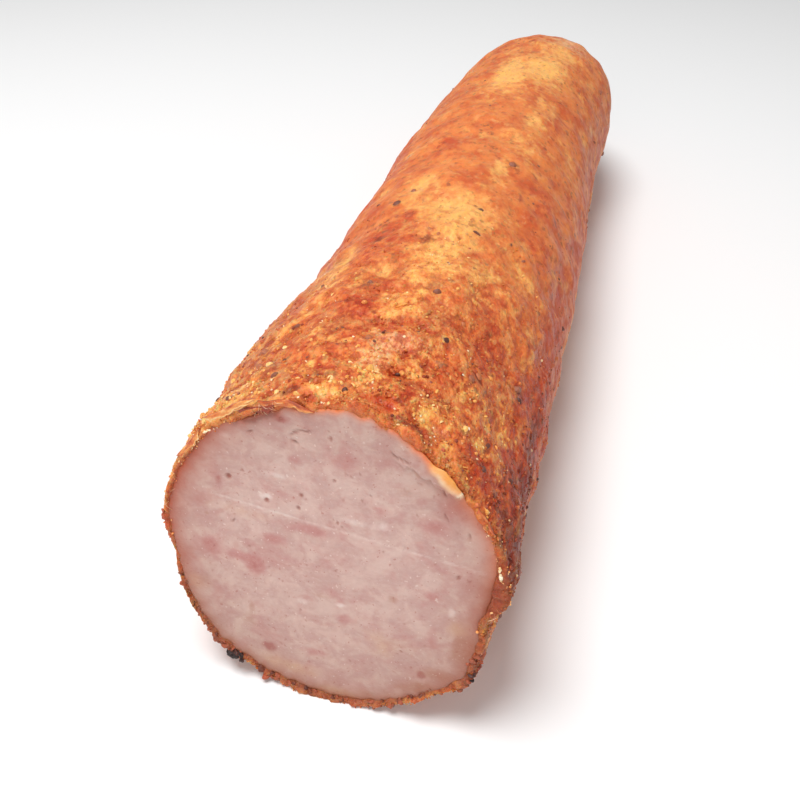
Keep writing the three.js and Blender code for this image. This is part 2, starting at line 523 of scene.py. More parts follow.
def cap_faces(ring, around, centre, flip=False):
    """Triangles from one ring to a single point."""
    spot = np.arange(around)
    a = ring * around + spot
    b = ring * around + (spot + 1) % around
    middle = np.full(around, centre)
    return np.stack([middle, b, a] if flip else [middle, a, b], -1).tolist()


def closed_tube_faces(rings, around):
    """Faces of a tube closed by the two points after its rings: at its first ring and at its last."""
    faces = ring_faces(rings, around)
    faces += cap_faces(0, around, rings * around)
    faces += cap_faces(rings - 1, around, rings * around + 1, flip=True)
    return faces


def finish_piece(thing, material):
    """Puts the piece on the body and hides the solid that it stands in for, and gives it its material where
    it has none yet.
    """
    if not thing.data.materials:
        thing.data.materials.append(material)
    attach(thing, BODY)
    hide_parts(NODE)


# ---------------------------------------------------------------- node helpers

DRAWN_OUT = 0.72  # texture scale along the sausage, where its patches and grains are longer


def add_node(tree, kind, inputs=None, **settings):
    """A node with its settings, its input values and its incoming links."""
    node = tree.nodes.new(kind)
    for key, value in settings.items():
        setattr(node, key, value)
    for key, value in (inputs or {}).items():
        socket = node.inputs[key]
        if isinstance(value, bpy.types.NodeSocket):
            tree.links.new(value, socket)
        else:
            socket.default_value = value
    return node


def maths(tree, operation, *values, clamp=False):
    node = add_node(tree, "ShaderNodeMath", dict(enumerate(values)), operation=operation)
    node.use_clamp = clamp
    return node.outputs[0]


def total_of(tree, *values):
    """The sum of values; a pair stands for a value times its share."""
    total = None
    for value in values:
        part = maths(tree, "MULTIPLY", *value) if isinstance(value, tuple) else value
        total = part if total is None else maths(tree, "ADD", total, part)
    return total


def vectors(tree, operation, first, second):
    """Vector maths; a scaling takes its factor at a socket of its own."""
    sockets = {0: first, 3 if operation == "SCALE" else 1: second}
    return add_node(tree, "ShaderNodeVectorMath", sockets, operation=operation).outputs[0]


def noise_colour(tree, where, size):
    node = add_node(tree, "ShaderNodeTexNoise", {"Vector": where, "Scale": 1 / (size * MM), "Detail": 1.0})
    return vectors(tree, "SUBTRACT", node.outputs["Color"], (0.5, 0.5, 0.5))


def scaled_noise(tree, where, scale, detail=2.0, roughness=0.5, distortion=0.0):
    inputs = {
        "Vector": where,
        "Scale": scale,
        "Detail": detail,
        "Roughness": roughness,
        "Distortion": distortion,
    }
    return add_node(tree, "ShaderNodeTexNoise", inputs).outputs[0]


def noise(tree, where, size, *shape):
    """Noise whose lumps are about size mm; its shape is detail, roughness and distortion."""
    return scaled_noise(tree, where, 1 / (size * MM), *shape)


def object_places(tree):
    return tree.nodes.new("ShaderNodeTexCoord").outputs["Object"]


def drawn_along(tree):
    """Places on the object, with everything on them drawn out along the sausage."""
    inputs = {"Vector": object_places(tree), "Scale": (1, DRAWN_OUT, 1)}
    return add_node(tree, "ShaderNodeMapping", inputs).outputs[0]


def packed_grains(tree, where, size):
    """Closely packed rounded grains of about size mm: their height, and a chance value for each."""
    swing = vectors(tree, "SCALE", noise_colour(tree, where, 0.7 * size), 0.5 * size * MM)
    node = add_node(
        tree,
        "ShaderNodeTexVoronoi",
        {"Vector": vectors(tree, "ADD", where, swing), "Scale": 1 / (size * MM)},
        feature="F1",
    )
    high = maths(tree, "SUBTRACT", 0.55, node.outputs["Distance"])
    chance = add_node(tree, "ShaderNodeSeparateXYZ", {0: node.outputs["Color"]}).outputs[0]
    return high, maths(tree, "SUBTRACT", chance, 0.5)


def ranged(tree, value, low, high, to_low=0.0, to_high=1.0, smooth=True):
    node = add_node(
        tree,
        "ShaderNodeMapRange",
        {"Value": value, "From Min": low, "From Max": high, "To Min": to_low, "To Max": to_high},
        interpolation_type="SMOOTHSTEP" if smooth else "LINEAR",
    )
    return node.outputs[0]


def blend(tree, share, below, above, mode="MIX"):
    sockets = {0: share, 6: below, 7: above}
    return add_node(tree, "ShaderNodeMix", sockets, data_type="RGBA", blend_type=mode).outputs[2]


def attribute(tree, name):
    return add_node(tree, "ShaderNodeAttribute", attribute_name=name).outputs["Fac"]


def ramp(tree, value, stops):
    """A colour ramp; each stop is a place and a colour."""
    node = add_node(tree, "ShaderNodeValToRGB", {"Fac": value})
    band = node.color_ramp
    while len(band.elements) < len(stops):
        band.elements.new(0.5)
    for element, (at, colour) in zip(band.elements, stops):
        element.position = at
        element.color = colour
    return node.outputs["Color"]


def paint(red, green, blue):
    """A linear colour from the 0 to 255 values that a screen shows."""

    def linear(value):
        value /= 255
        return value / 12.92 if value <= 0.04045 else ((value + 0.055) / 1.055) ** 2.4

    return (linear(red), linear(green), linear(blue), 1.0)


def new_group(name, kind, inputs, outputs):
    """An empty node group with its named sockets, and its input and output nodes."""
    tree = bpy.data.node_groups.new(name, kind)
    for label, socket_type, default in inputs:
        socket = tree.interface.new_socket(name=label, in_out="INPUT", socket_type=socket_type)
        if default is not None:
            socket.default_value = default
    for label, socket_type in outputs:
        tree.interface.new_socket(name=label, in_out="OUTPUT", socket_type=socket_type)
    return tree, tree.nodes.new("NodeGroupInput"), tree.nodes.new("NodeGroupOutput")


FLOAT = "NodeSocketFloat"
GEOMETRY = "NodeSocketGeometry"


def ragged_mask_group():
    """Turns a soft amount into a mask with an uneven edge, for the crust and the meat."""
    tree, given, result = new_group(
        "Ragged mask",
        "ShaderNodeTree",
        [
            ("Amount", FLOAT, 0.5),
            ("Noise Scale", FLOAT, 400.0),
            ("Unevenness", FLOAT, 1.0),
            ("Grains", FLOAT, 0.0),
            ("Softness", FLOAT, 0.2),
        ],
        [("Mask", FLOAT)],
    )
    where = drawn_along(tree)
    spread = maths(tree, "SUBTRACT", scaled_noise(tree, where, given.outputs["Noise Scale"]), 0.5)
    chance = packed_grains(tree, where, 0.8)[1]
    total = total_of(
        tree,
        given.outputs["Amount"],
        (spread, given.outputs["Unevenness"]),
        (chance, given.outputs["Grains"]),
    )
    low = maths(tree, "SUBTRACT", 0.5, given.outputs["Softness"])
    high = maths(tree, "ADD", 0.5, given.outputs["Softness"])
    tree.links.new(ranged(tree, total, low, high), result.inputs["Mask"])
    return tree


def ragged_mask(tree, amount, size, unevenness, softness, grains=0.0):
    """A mask with an uneven edge, whose waves are about size mm."""
    group = bpy.data.node_groups.get("Ragged mask") or ragged_mask_group()
    inputs = {
        "Amount": amount,
        "Noise Scale": 1 / (size * MM),
        "Unevenness": unevenness,
        "Grains": grains,
        "Softness": softness,
    }
    return add_node(tree, "ShaderNodeGroup", inputs, node_tree=group).outputs["Mask"]


def crust_grain_group():
    """Lumps, grains and grit of a roasted crust: a tone about 0.5 for colours, and a height for bumps."""
    tree, given, result = new_group(
        "Crust grain",
        "ShaderNodeTree",
        [("Coarse", FLOAT, 1.0), ("Fine", FLOAT, 0.35), ("Grit", FLOAT, 0.2), ("Grains", FLOAT, 0.3)],
        [("Tone", FLOAT), ("Bump", FLOAT)],
    )
    where = drawn_along(tree)
    coarse = maths(tree, "SUBTRACT", noise(tree, where, 1.6, 2, 0.55), 0.5)
    fine = maths(tree, "SUBTRACT", noise(tree, where, 0.65, 2, 0.55), 0.5)
    grit = maths(tree, "SUBTRACT", noise(tree, where, 0.24, 2, 0.6), 0.5)
    large, large_chance = packed_grains(tree, where, 1.15)
    small, small_chance = packed_grains(tree, where, 0.5)
    grains = total_of(tree, (large, 0.9), (small, 0.7), (large_chance, 0.5), (small_chance, 0.6))
    tone = total_of(
        tree,
        (coarse, given.outputs["Coarse"]),
        (fine, given.outputs["Fine"]),
        (grit, given.outputs["Grit"]),
        (maths(tree, "SUBTRACT", grains, 0.2), given.outputs["Grains"]),
    )
    tree.links.new(maths(tree, "ADD", tone, 0.5), result.inputs["Tone"])
    high = total_of(tree, (coarse, 2.0), (fine, 0.8), (large, 1.2), (small, 0.7), (grit, 0.5))
    tree.links.new(high, result.inputs["Bump"])
    return tree


def new_material(name, **sockets):
    """A material with a plain Principled BSDF, and the shader's own values set on it."""
    material = bpy.data.materials.new(name)
    material.use_nodes = True
    shader = material.node_tree.nodes["Principled BSDF"]
    for key, value in sockets.items():
        shader.inputs[key.replace("_", " ")].default_value = value
    return material, material.node_tree, shader


def add_bump(tree, shader, height, strength, distance):
    """Bumps up to a distance in mm."""
    inputs = {"Strength": strength, "Distance": distance * MM, "Height": height}
    tree.links.new(add_node(tree, "ShaderNodeBump", inputs).outputs[0], shader.inputs["Normal"])


# ---------------------------------------------------------------- materials

BIT_GRAIN = 0.3  # size of the grain of crumbs and flecks, in mm


def soak_in(tree, base, colours, most):
    """Lays the colours that soak from the skin into the cut, and the painted shade in the gap under the
    torn skin, over a colour.
    """
    for name in STAINS:
        share = maths(tree, "MULTIPLY", attribute(tree, name), most, clamp=True)
        base = blend(tree, share, base, getattr(colours, name))
    return base


def crust_material(colours):
    """The browned skin: orange, redder and scorched patches, golden ones, and a fine grain on it all; with
    painted shade in its crevices and along both flanks, painted light on its raised grains and a painted
    highlight on its top near the closed end.
    """
    material, tree, shader = new_material(
        "grilled_crust",
        IOR=1.45,
        Specular_IOR_Level=0.4,
        Subsurface_Weight=0.5,
        Subsurface_Radius=(1.0, 0.3, 0.08),
        Subsurface_Scale=0.0018,
    )
    where = drawn_along(tree)
    near_cut = attribute(tree, "near")

    blotch = noise(tree, where, 4.5, 3, 0.6)
    base = blend(tree, ranged(tree, blotch, 0.38, 0.66), colours.orange, colours.red_brown)
    cloud = noise(tree, where, 7.5, 3, 0.55, 0.4)
    golden_spots = ranged(tree, noise(tree, where, 2.6), 0.48, 0.66, 0, 0.66)
    golden = total_of(
        tree,
        attribute(tree, "golden"),
        ranged(tree, cloud, 0.50, 0.74, 0, 0.55),
        (golden_spots, near_cut),
    )
    tan_spots = ranged(tree, noise(tree, where, 3.4), 0.5, 0.75, 0, 0.3)
    tan = maths(tree, "ADD", attribute(tree, "tan"), tan_spots)
    tan = maths(tree, "MULTIPLY", tan, ranged(tree, near_cut, 0, 0.6, 0.5, 1))
    # Each colour's patches: how much they cover, then size, unevenness, softness and grains of their edge.
    # The redder patches also lay painted shade along both flanks, and the golden and pale ones a painted
    # highlight near the closed end.
    for amount, edge, share, colour in (
        (tan, (1.8, 1.2, 0.5, 0.4), 0.8, colours.tan),
        (golden, (2.2, 1.3, 0.5, 0.4), 1.0, colours.golden),
        (attribute(tree, "reddish"), (2.1, 2.0, 0.45, 0.5), 0.75, colours.red),
        (attribute(tree, "pale"), (1.4, 1.2, 0.4, 0.4), 0.7, colours.pale),
        (attribute(tree, "greyish"), (1.1, 1.2, 0.35, 0.3), 0.6, colours.grey),
        (attribute(tree, "scorched"), (1.3, 2.2, 0.4, 0.5), 0.75, colours.scorched),
    ):
        mask = ragged_mask(tree, amount, *edge)
        base = blend(tree, maths(tree, "MULTIPLY", mask, share), base, colour)

    grain = add_node(tree, "ShaderNodeGroup", node_tree=crust_grain_group())
    # Painted shade and light: the crust grows darker in its crevices and, through the kept height, lighter
    # on its raised grains.
    crevice_shade = ranged(tree, grain.outputs["Bump"], -0.1, 1.1, -0.1, 0.05, smooth=False)
    tone = total_of(
        tree,
        grain.outputs["Tone"],
        crevice_shade,
        (attribute(tree, "height"), 0.3),
        (attribute(tree, "tint"), 0.5),
    )
    speckle = ramp(
        tree,
        tone,
        [
            (0.14, (0.58, 0.17, 0.11, 1)),
            (0.28, (0.84, 0.40, 0.27, 1)),
            (0.42, (0.98, 0.77, 0.63, 1)),
            (0.54, (1.0, 1.0, 1.0, 1)),
            (0.70, (1.06, 1.14, 1.2, 1)),
        ],
    )
    on_lip = attribute(tree, "lip")
    lip = maths(tree, "MULTIPLY", on_lip, attribute(tree, "lip_golden"))
    base = blend(tree, ragged_mask(tree, lip, 0.7, 0.7, 0.3), base, colours.rim_golden)
    base = soak_in(tree, base, colours, 0.85)
    strength = ranged(tree, near_cut, 0, 1, 0.14, 0.8, smooth=False)
    strength = maths(tree, "MULTIPLY", strength, ranged(tree, on_lip, 0, 1, 1, 0.55, smooth=False))
    base = blend(tree, strength, base, blend(tree, 1.0, base, speckle, "MULTIPLY"))
    tree.links.new(base, shader.inputs["Base Color"])

    gloss = ranged(tree, noise(tree, where, 1.7, 2), 0.35, 0.7, 0.42, 0.68)
    glint = ranged(tree, noise(tree, where, 0.5, 2, 0.7), 0.58, 0.66, 0, 0.34)
    gloss = maths(tree, "SUBTRACT", gloss, maths(tree, "MULTIPLY", glint, near_cut))
    tree.links.new(gloss, shader.inputs["Roughness"])
    clear = ranged(tree, near_cut, 0, 1, 0.14, 1.0, smooth=False)
    add_bump(tree, shader, maths(tree, "MULTIPLY", grain.outputs["Bump"], clear), 1.0, 0.19)
    return material


def meat_material(colours):
    """Moist pale pink meat, mottled, with rosier and browner pieces and an orange stain at its edge; with
    painted shade towards its edge and bottom, in its pores and slits, in the gap under the torn skin and
    under a thin layer, and tiny painted glints.
    """
    material, tree, shader = new_material(
        "pink_meat",
        IOR=1.42,
        Subsurface_Weight=0.35,
        Subsurface_Radius=(1.0, 0.45, 0.35),
        Subsurface_Scale=0.001,
    )
    where = object_places(tree)
    turned = {"Vector": where, "Rotation": (0, math.radians(8), 0), "Scale": (0.8, 1, 1)}
    drawn_out = add_node(tree, "ShaderNodeMapping", turned).outputs[0]
    mottle = noise(tree, drawn_out, 3.2, 4, 0.62, 0.5)
    base = blend(tree, ranged(tree, mottle, 0.36, 0.66), colours.meat, colours.meat_light)
    rosier = noise(tree, drawn_out, 5.5, 3, 0.55, 0.8)
    base = blend(tree, ranged(tree, rosier, 0.5, 0.72, 0, 0.4), base, colours.meat_rose)
    for name, colour, size, share in (
        ("beige", colours.meat_beige, 2.5, 0.7),
        ("rose", colours.meat_rose, 1.6, 0.75),
        ("red", colours.meat_red, 0.9, 0.8),
        # The brown pieces also carry painted shade.
        ("brown", colours.meat_brown_and_shade, 1.2, 0.75),
        ("white", colours.meat_white_and_glints, 0.8, 0.8),
    ):
        mask = ragged_mask(tree, attribute(tree, name), size, 0.7, 0.45)
        base = blend(tree, maths(tree, "MULTIPLY", mask, share), base, colour)
    fibres = noise(tree, drawn_out, 0.5, 3, 0.65, 0.3)
    base = blend(tree, ranged(tree, fibres, 0.4, 0.75, 0.0, 0.12), base, colours.meat_white_and_glints)
    clumps = noise(tree, where, 1.8)
    base = blend(tree, ranged(tree, clumps, 0.5, 0.75, 0.0, 0.22), base, colours.meat_rose)
    specks_and_glints = noise(tree, where, 0.55, 1.0)
    base = blend(tree, ranged(tree, specks_and_glints, 0.69, 0.76, 0, 0.45), base, colours.meat_red)
    # Tiny painted glints of wetness.
    base = blend(tree, ranged(tree, specks_and_glints, 0.285, 0.25, 0, 0.5), base, colours.meat_white_and_glints)
    # Painted shade towards the edge and the bottom of the cut.
    shade = blend(tree, 1.0, base, colours.meat_edge, "MULTIPLY")
    base = blend(tree, attribute(tree, "edge"), base, shade)
    # Painted shade inside the pores and slits.
    base = blend(tree, attribute(tree, "pore_shade"), base, colours.pore_shade)
    base = soak_in(tree, base, colours, 1.15)
    creamy = ranged(tree, noise(tree, where, 1.3), 0.35, 0.65, -0.12, 0.12)
    creamy = maths(tree, "ADD", attribute(tree, "creamy"), creamy, clamp=True)
    strip = blend(tree, creamy, colours.fat_strip, colours.cream)
    base = blend(tree, attribute(tree, "strip"), base, strip)
    base = blend(tree, attribute(tree, "tip"), base, colours.cream)
    tree.links.new(base, shader.inputs["Base Color"])

    wet = noise(tree, drawn_out, 1.1, 3, 0.6)
    tree.links.new(ranged(tree, wet, 0.35, 0.68, 0.30, 0.52), shader.inputs["Roughness"])
    fine = noise(tree, drawn_out, 0.34, 3, 0.6)
    add_bump(tree, shader, total_of(tree, fine, (wet, 0.6)), 0.55, 0.14)
    return material


def bits_material(name, roughness, *stops):
    """Crumbs, grains and flecks: each bit has its own tint, a place on a ramp.

    Each stop is a place and the 0 to 255 values of its colour.
    """
    material, tree, shader = new_material(name, Roughness=roughness, IOR=1.45)
    where = object_places(tree)
    speck = maths(tree, "SUBTRACT", noise(tree, where, BIT_GRAIN), 0.5)
    tint = maths(tree, "ADD", attribute(tree, "tint"), maths(tree, "MULTIPLY", speck, 0.5), clamp=True)
    colour = ramp(tree, tint, [(at, paint(*shown)) for at, *shown in stops])
    tree.links.new(colour, shader.inputs["Base Color"])
    add_bump(tree, shader, noise(tree, where, BIT_GRAIN, 2, 0.6), 0.7, 0.1)
    return material


def stage_material():
    """A plain pale floor."""
    return new_material("pale_floor", Roughness=0.9, Base_Color=(0.93, 0.93, 0.93, 1))[0]


# ---------------------------------------------------------------- geometry node trees

BIT_LUMP_SCALE = 1400.0  # lumps of the noise on each bit, in one metre


def position_and_normal(tree):
    where = tree.nodes.new("GeometryNodeInputPosition").outputs[0]
    normal = tree.nodes.new("GeometryNodeInputNormal").outputs[0]
    return where, normal


def named(tree, name):
    node = add_node(tree, "GeometryNodeInputNamedAttribute", {"Name": name}, data_type="FLOAT")
    return node.outputs["Attribute"]


def push_out(tree, geometry, normal, distance):
    offset = vectors(tree, "SCALE", normal, distance)
    return add_node(tree, "GeometryNodeSetPosition", {"Geometry": geometry, "Offset": offset}).outputs[0]


def end_tree(tree, geometry, material, result):
    realized = add_node(tree, "GeometryNodeRealizeInstances", {"Geometry": geometry}).outputs[0]
    inputs = {"Geometry": realized, "Material": material}
    finished = add_node(tree, "GeometryNodeSetMaterial", inputs).outputs[0]
    tree.links.new(finished, result.inputs["Geometry"])


def crust_relief_tree():
    """Raises lumps and grains along the normal, and keeps their height for the colours."""
    tree, given, result = new_group(
        "Crust relief",
        "GeometryNodeTree",
        [
            ("Geometry", GEOMETRY, None),
            ("Lump Size", FLOAT, 0.0026),
            ("Lump Height", FLOAT, 0.00022),
            ("Grain Size", FLOAT, 0.001),
            ("Grain Height", FLOAT, 0.00016),
            ("Pit Depth", FLOAT, 0.0002),
            ("Material", "NodeSocketMaterial", None),
        ],
        [("Geometry", GEOMETRY)],
    )
    where, normal = position_and_normal(tree)
    lump_scale = maths(tree, "DIVIDE", 1.0, given.outputs["Lump Size"])
    grain_scale = maths(tree, "DIVIDE", 1.0, given.outputs["Grain Size"])
    crowd = add_node(
        tree,
        "ShaderNodeTexVoronoi",
        {"Vector": where, "Scale": maths(tree, "MULTIPLY", grain_scale, 0.8), "Smoothness": 0.6},
        feature="SMOOTH_F1",
    ).outputs["Distance"]
    lumps = maths(tree, "SUBTRACT", scaled_noise(tree, where, lump_scale, 2.0, 0.5, 0.4), 0.5)
    grains = maths(tree, "SUBTRACT", scaled_noise(tree, where, grain_scale, 3.0, 0.6), 0.5)
    knobs = maths(tree, "SUBTRACT", 0.45, crowd)
    pits = ranged(tree, lumps, -0.1, -0.22)

    twice_lump = maths(tree, "MULTIPLY", given.outputs["Lump Height"], 2.0)
    fine = total_of(tree, (grains, 2.0), knobs)
    high = total_of(tree, (lumps, twice_lump), (fine, given.outputs["Grain Height"]))
    high = maths(tree, "SUBTRACT", high, maths(tree, "MULTIPLY", pits, given.outputs["Pit Depth"]))
    high = maths(tree, "MULTIPLY", high, named(tree, "rough"))
    moved = push_out(tree, given.outputs["Geometry"], normal, high)
    # The kept height makes the crust lighter on its raised grains and darker in its hollows: painted light
    # and shade.
    tint = total_of(tree, fine, (lumps, 1.5))
    kept = add_node(
        tree,
        "GeometryNodeStoreNamedAttribute",
        {"Geometry": moved, "Name": "height", "Value": maths(tree, "MULTIPLY", tint, named(tree, "rough"))},
        data_type="FLOAT",
        domain="POINT",
    ).outputs[0]
    end_tree(tree, kept, given.outputs["Material"], result)
    return tree


def bits_tree():
    """Sets an uneven lump on every point, as large as the point says, turned and stretched by chance."""
    tree, given, result = new_group(
        "Bits on points",
        "GeometryNodeTree",
        [
            ("Geometry", GEOMETRY, None),
            ("Faces", "NodeSocketInt", 1),
            ("Thinnest", FLOAT, 0.6),
            ("Longest", FLOAT, 1.4),
            ("Unevenness", FLOAT, 0.4),
            ("Seed", "NodeSocketInt", 1),
            ("Material", "NodeSocketMaterial", None),
        ],
        [("Geometry", GEOMETRY)],
    )
    lump = add_node(
        tree, "GeometryNodeMeshIcoSphere", {"Radius": 1.0, "Subdivisions": given.outputs["Faces"]}
    ).outputs["Mesh"]
    turn = add_node(
        tree,
        "FunctionNodeRandomValue",
        {"Min": (0, 0, 0), "Max": (2 * math.pi,) * 3, "Seed": given.outputs["Seed"]},
        data_type="FLOAT_VECTOR",
    ).outputs[0]
    low, high = (
        add_node(tree, "ShaderNodeCombineXYZ", dict.fromkeys(range(3), given.outputs[name])).outputs[0]
        for name in ("Thinnest", "Longest")
    )
    stretch = add_node(
        tree,
        "FunctionNodeRandomValue",
        {"Min": low, "Max": high, "Seed": maths(tree, "ADD", given.outputs["Seed"], 7)},
        data_type="FLOAT_VECTOR",
    ).outputs[0]
    placed = add_node(
        tree,
        "GeometryNodeInstanceOnPoints",
        {
            "Points": given.outputs["Geometry"],
            "Instance": lump,
            "Rotation": add_node(tree, "FunctionNodeEulerToRotation", {"Euler": turn}).outputs[0],
            "Scale": vectors(tree, "SCALE", stretch, named(tree, "size")),
        },
    ).outputs[0]
    realized = add_node(tree, "GeometryNodeRealizeInstances", {"Geometry": placed}).outputs[0]
    where, normal = position_and_normal(tree)
    size = named(tree, "size")
    bumps = scaled_noise(tree, where, BIT_LUMP_SCALE, 1.0)
    swing = maths(tree, "MULTIPLY", maths(tree, "SUBTRACT", bumps, 0.5), given.outputs["Unevenness"])
    swing = maths(tree, "MULTIPLY", maths(tree, "MULTIPLY", swing, 2.0), size)
    faceted = {"Geometry": push_out(tree, realized, normal, swing), "Shade Smooth": False}
    flat = add_node(tree, "GeometryNodeSetShadeSmooth", faceted).outputs[0]
    end_tree(tree, flat, given.outputs["Material"], result)
    return tree


def run_tree(thing, tree, values):
    """Runs a node tree on an object once and keeps the plain mesh it gives."""
    modifier = thing.modifiers.new(tree.name, "NODES")
    modifier.node_group = tree
    for item in tree.interface.items_tree:
        if item.item_type == "SOCKET" and item.in_out == "INPUT" and item.name in values:
            modifier[item.identifier] = values[item.name]
    depsgraph = bpy.context.evaluated_depsgraph_get()
    made = bpy.data.meshes.new_from_object(
        thing.evaluated_get(depsgraph), preserve_all_data_layers=True, depsgraph=depsgraph
    )
    thing.modifiers.clear()
    thing.data = made


# ---------------------------------------------------------------- the crust

CRUST_AROUND = 328
FIRST_STEP = 0.40  # between the rings at the cut
LAST_STEP = 1.3  # and at the closed end
# Rings of the skin's inner wall, in mm from the cut, and those close behind the lip: how far behind the
# cut, and how far inside the skin.
INNER_PLACES = (150, 120, 85, 50, 25, 12, 6)
LIP_BACKS = ((3.2, 0.55), (1.6, 0.35), (0.6, 0.2))
# The lip from its inside to its outside: widths of the skin inside the crust, and share of its lift.
LIP_PROFILE = ((1.15, -0.6), (1, 0.1), (0.82, 0.4), (0.62, 0.75), (0.42, 0.95), (0.22, 0.8), (0.07, 0.4))
LIP_GOLDEN = [(143, 25, 1.1), (48, 10, 0.5), (16, 16, 0.25)]  # around, how wide, how golden
LIP_FRAY = (0.1, 0.08)  # heights of the tatters and the crags along the lip
NEAR_CUT = (14, 80)  # mm along over which the crust goes from sharp to soft
ROUGH_CRUST = (15, 90)  # and over which its relief grows lower
LOW_RELIEF = 0.35  # share of the relief that is left there, and on the lip
PRESSED_SPREAD = 19  # degrees beside the underside that are pressed smooth
PRESSED_BELOW = 0.6
LIP_SPILL = 0.8  # how strongly the lip's colours go on over the crust
LIP_REACH = 0.9  # and how far
BURNT_REACH = 1.6


def crust_places(form):
    """Where the rings of the outside stand: closest at the cut."""
    places = [0.0]
    while places[-1] < form.body_length - LAST_STEP:
        places.append(places[-1] + lerp(FIRST_STEP, LAST_STEP, places[-1] / form.body_length))
    rings = round(1.2 * DOME_LENGTH / LAST_STEP)
    dome = form.body_length + DOME_LENGTH * np.sin(math.pi / 2 * np.arange(rings) / rings)
    return np.concatenate([places[:-1], dome])


def lip_golden(angle):
    total = 0
    for around, wide, strong in LIP_GOLDEN:
        total = np.maximum(total, strong * near(angle, around, wide))
    return total


def crust_masks(angle, along):
    """What the crust's material needs to know about places on the skin."""
    return {
        "near": 1 - smoothstep(along, *NEAR_CUT),
        **{name: painted(patches, angle, along) for name, patches in PATCHES.items()},
        "lip_golden": lip_golden(angle),
    }


def crust_mesh(form):
    """The skin and crust as one shell: outside, lip round the cut, and inner wall."""
    angle = 2 * math.pi * np.arange(CRUST_AROUND) / CRUST_AROUND
    outer = form.radius(angle, 0.0)
    gap, lift = form.skin_at(angle)
    lift = lift * held_down(angle)
    frayed = LIP_FRAY[0] * TATTERS(angle, 0) + LIP_FRAY[1] * FINE_CRAGS(angle, 0)
    width = np.maximum(skin_width(form, angle), outer - rounded_edge(form, angle) + 0.2)

    rings = []  # each: points, along
    inner_places = [form.length - 3, *np.linspace(form.length - 12, form.body_length, 4), *INNER_PLACES]
    for along in inner_places:
        radius = form.plain_radius(along) - form.skin - 0.5
        rings.append((form.place(angle, along, radius), along))
    for back, deeper in LIP_BACKS:
        rings.append((form.place(angle, 0, outer - width - deeper * (0.4 + gap), -back), 0))
    for inwards, share in LIP_PROFILE:
        forward = share * lift + frayed * smoothstep(1 - inwards, -0.2, 0.4)
        rings.append((form.place(angle, 0, outer - inwards * width, forward), 0))
    back_start = len(inner_places)
    lip_start = back_start + len(LIP_BACKS)
    lip_end = len(rings)
    for along in crust_places(form):
        rings.append((form.place(angle, along, form.radius(angle, along)), along))

    points = np.concatenate([ring for ring, _ in rings])
    along = np.repeat([float(at) for _, at in rings], CRUST_AROUND)
    spots = np.tile(angle, len(rings))
    count = len(rings)
    back_tip = form.place(0.0, form.length - 1.5, 0.0)
    tip = form.place(0.0, form.length, 0.0)
    points = np.concatenate([points, back_tip[None], tip[None]])
    along = np.append(along, [form.length, form.length])
    spots = np.append(spots, [0, 0])

    ring_number = np.append(np.repeat(np.arange(count), CRUST_AROUND), [0, count])
    on_lip = (ring_number >= back_start) & (ring_number < lip_end)
    outside = ring_number >= lip_end
    pressed = near(spots, UNDERSIDE, PRESSED_SPREAD) * (points[:, 2] < PRESSED_BELOW)
    rough = np.where(outside, lerp(1, LOW_RELIEF, smoothstep(along, *ROUGH_CRUST)), LOW_RELIEF)
    rough = rough * (1 - 0.9 * pressed) * smoothstep(form.length - along, 0, 6)
    soaked = np.zeros(len(along))
    for i, (inwards, _) in enumerate(LIP_PROFILE):
        soaked[ring_number == lip_start + i] = smoothstep(inwards, -0.1, 0.8)
    soaked[on_lip & (ring_number < lip_start)] = 1
    spill = outside * LIP_SPILL
    burnt_low = np.where(on_lip, 0.5 + 0.5 * soaked, spill * np.exp(-((along / BURNT_REACH) ** 2)))
    lip = np.where(on_lip, 1.0, spill * np.exp(-((along / LIP_REACH) ** 2)))
    masks = crust_masks(spots, along)
    for name, share in stains(spots, 0 * along).items():
        masks[name] = share * (burnt_low if name == "stain_low" else soaked)
    masks.update({"rough": rough, "height": 0 * along, "tint": 0 * along, "lip": lip})
    return points, closed_tube_faces(count, CRUST_AROUND), masks


# ---------------------------------------------------------------- the meat

# Pieces in the cut meat: right and up in mm from the middle of the cut, half width, half height, strength.
ROSE_PIECES = [
    (-10.5, -2.6, 1.7, 1.6, 1.2),
    (-13.5, -1.6, 2.4, 0.9, 0.8),
    (-7.5, 2.6, 2.2, 1.0, 0.9),
    (-2.2, 5.6, 3.6, 1.1, 0.9),
    (15, 10.3, 2.6, 1.8, 0.8),
    (17.3, 14, 2.0, 1.6, 1.0),
    (2.5, 17, 2.6, 1.8, 0.6),
    (-6, 21.6, 1.6, 0.6, 0.9),
    (3, -8.4, 1.3, 1.2, 0.8),
    (15.4, -0.6, 1.3, 1.0, 0.9),
    (-1.5, -16, 1.9, 0.8, 0.7),
    (16, -8, 1.2, 2.2, 0.6),
    (-4.5, 16, 1.0, 0.8, 0.6),
    (7.5, 11.2, 1.4, 1.0, 0.6),
    (-17.6, -0.9, 1.5, 1.8, 1.0),
    (9, 18.3, 2.0, 0.9, 0.6),
    (1, -4.3, 2.4, 0.9, 0.5),
]
RED_PIECES = [
    (-8.6, -17.3, 1.1, 0.9, 1.3),
    (14.8, -15, 0.7, 0.7, 1.3),
    (-10.7, -2.9, 0.9, 1.0, 0.5),
    (-15.6, 10.3, 0.6, 0.9, 0.6),
    (-6.2, 21.3, 0.8, 0.4, 0.8),
]
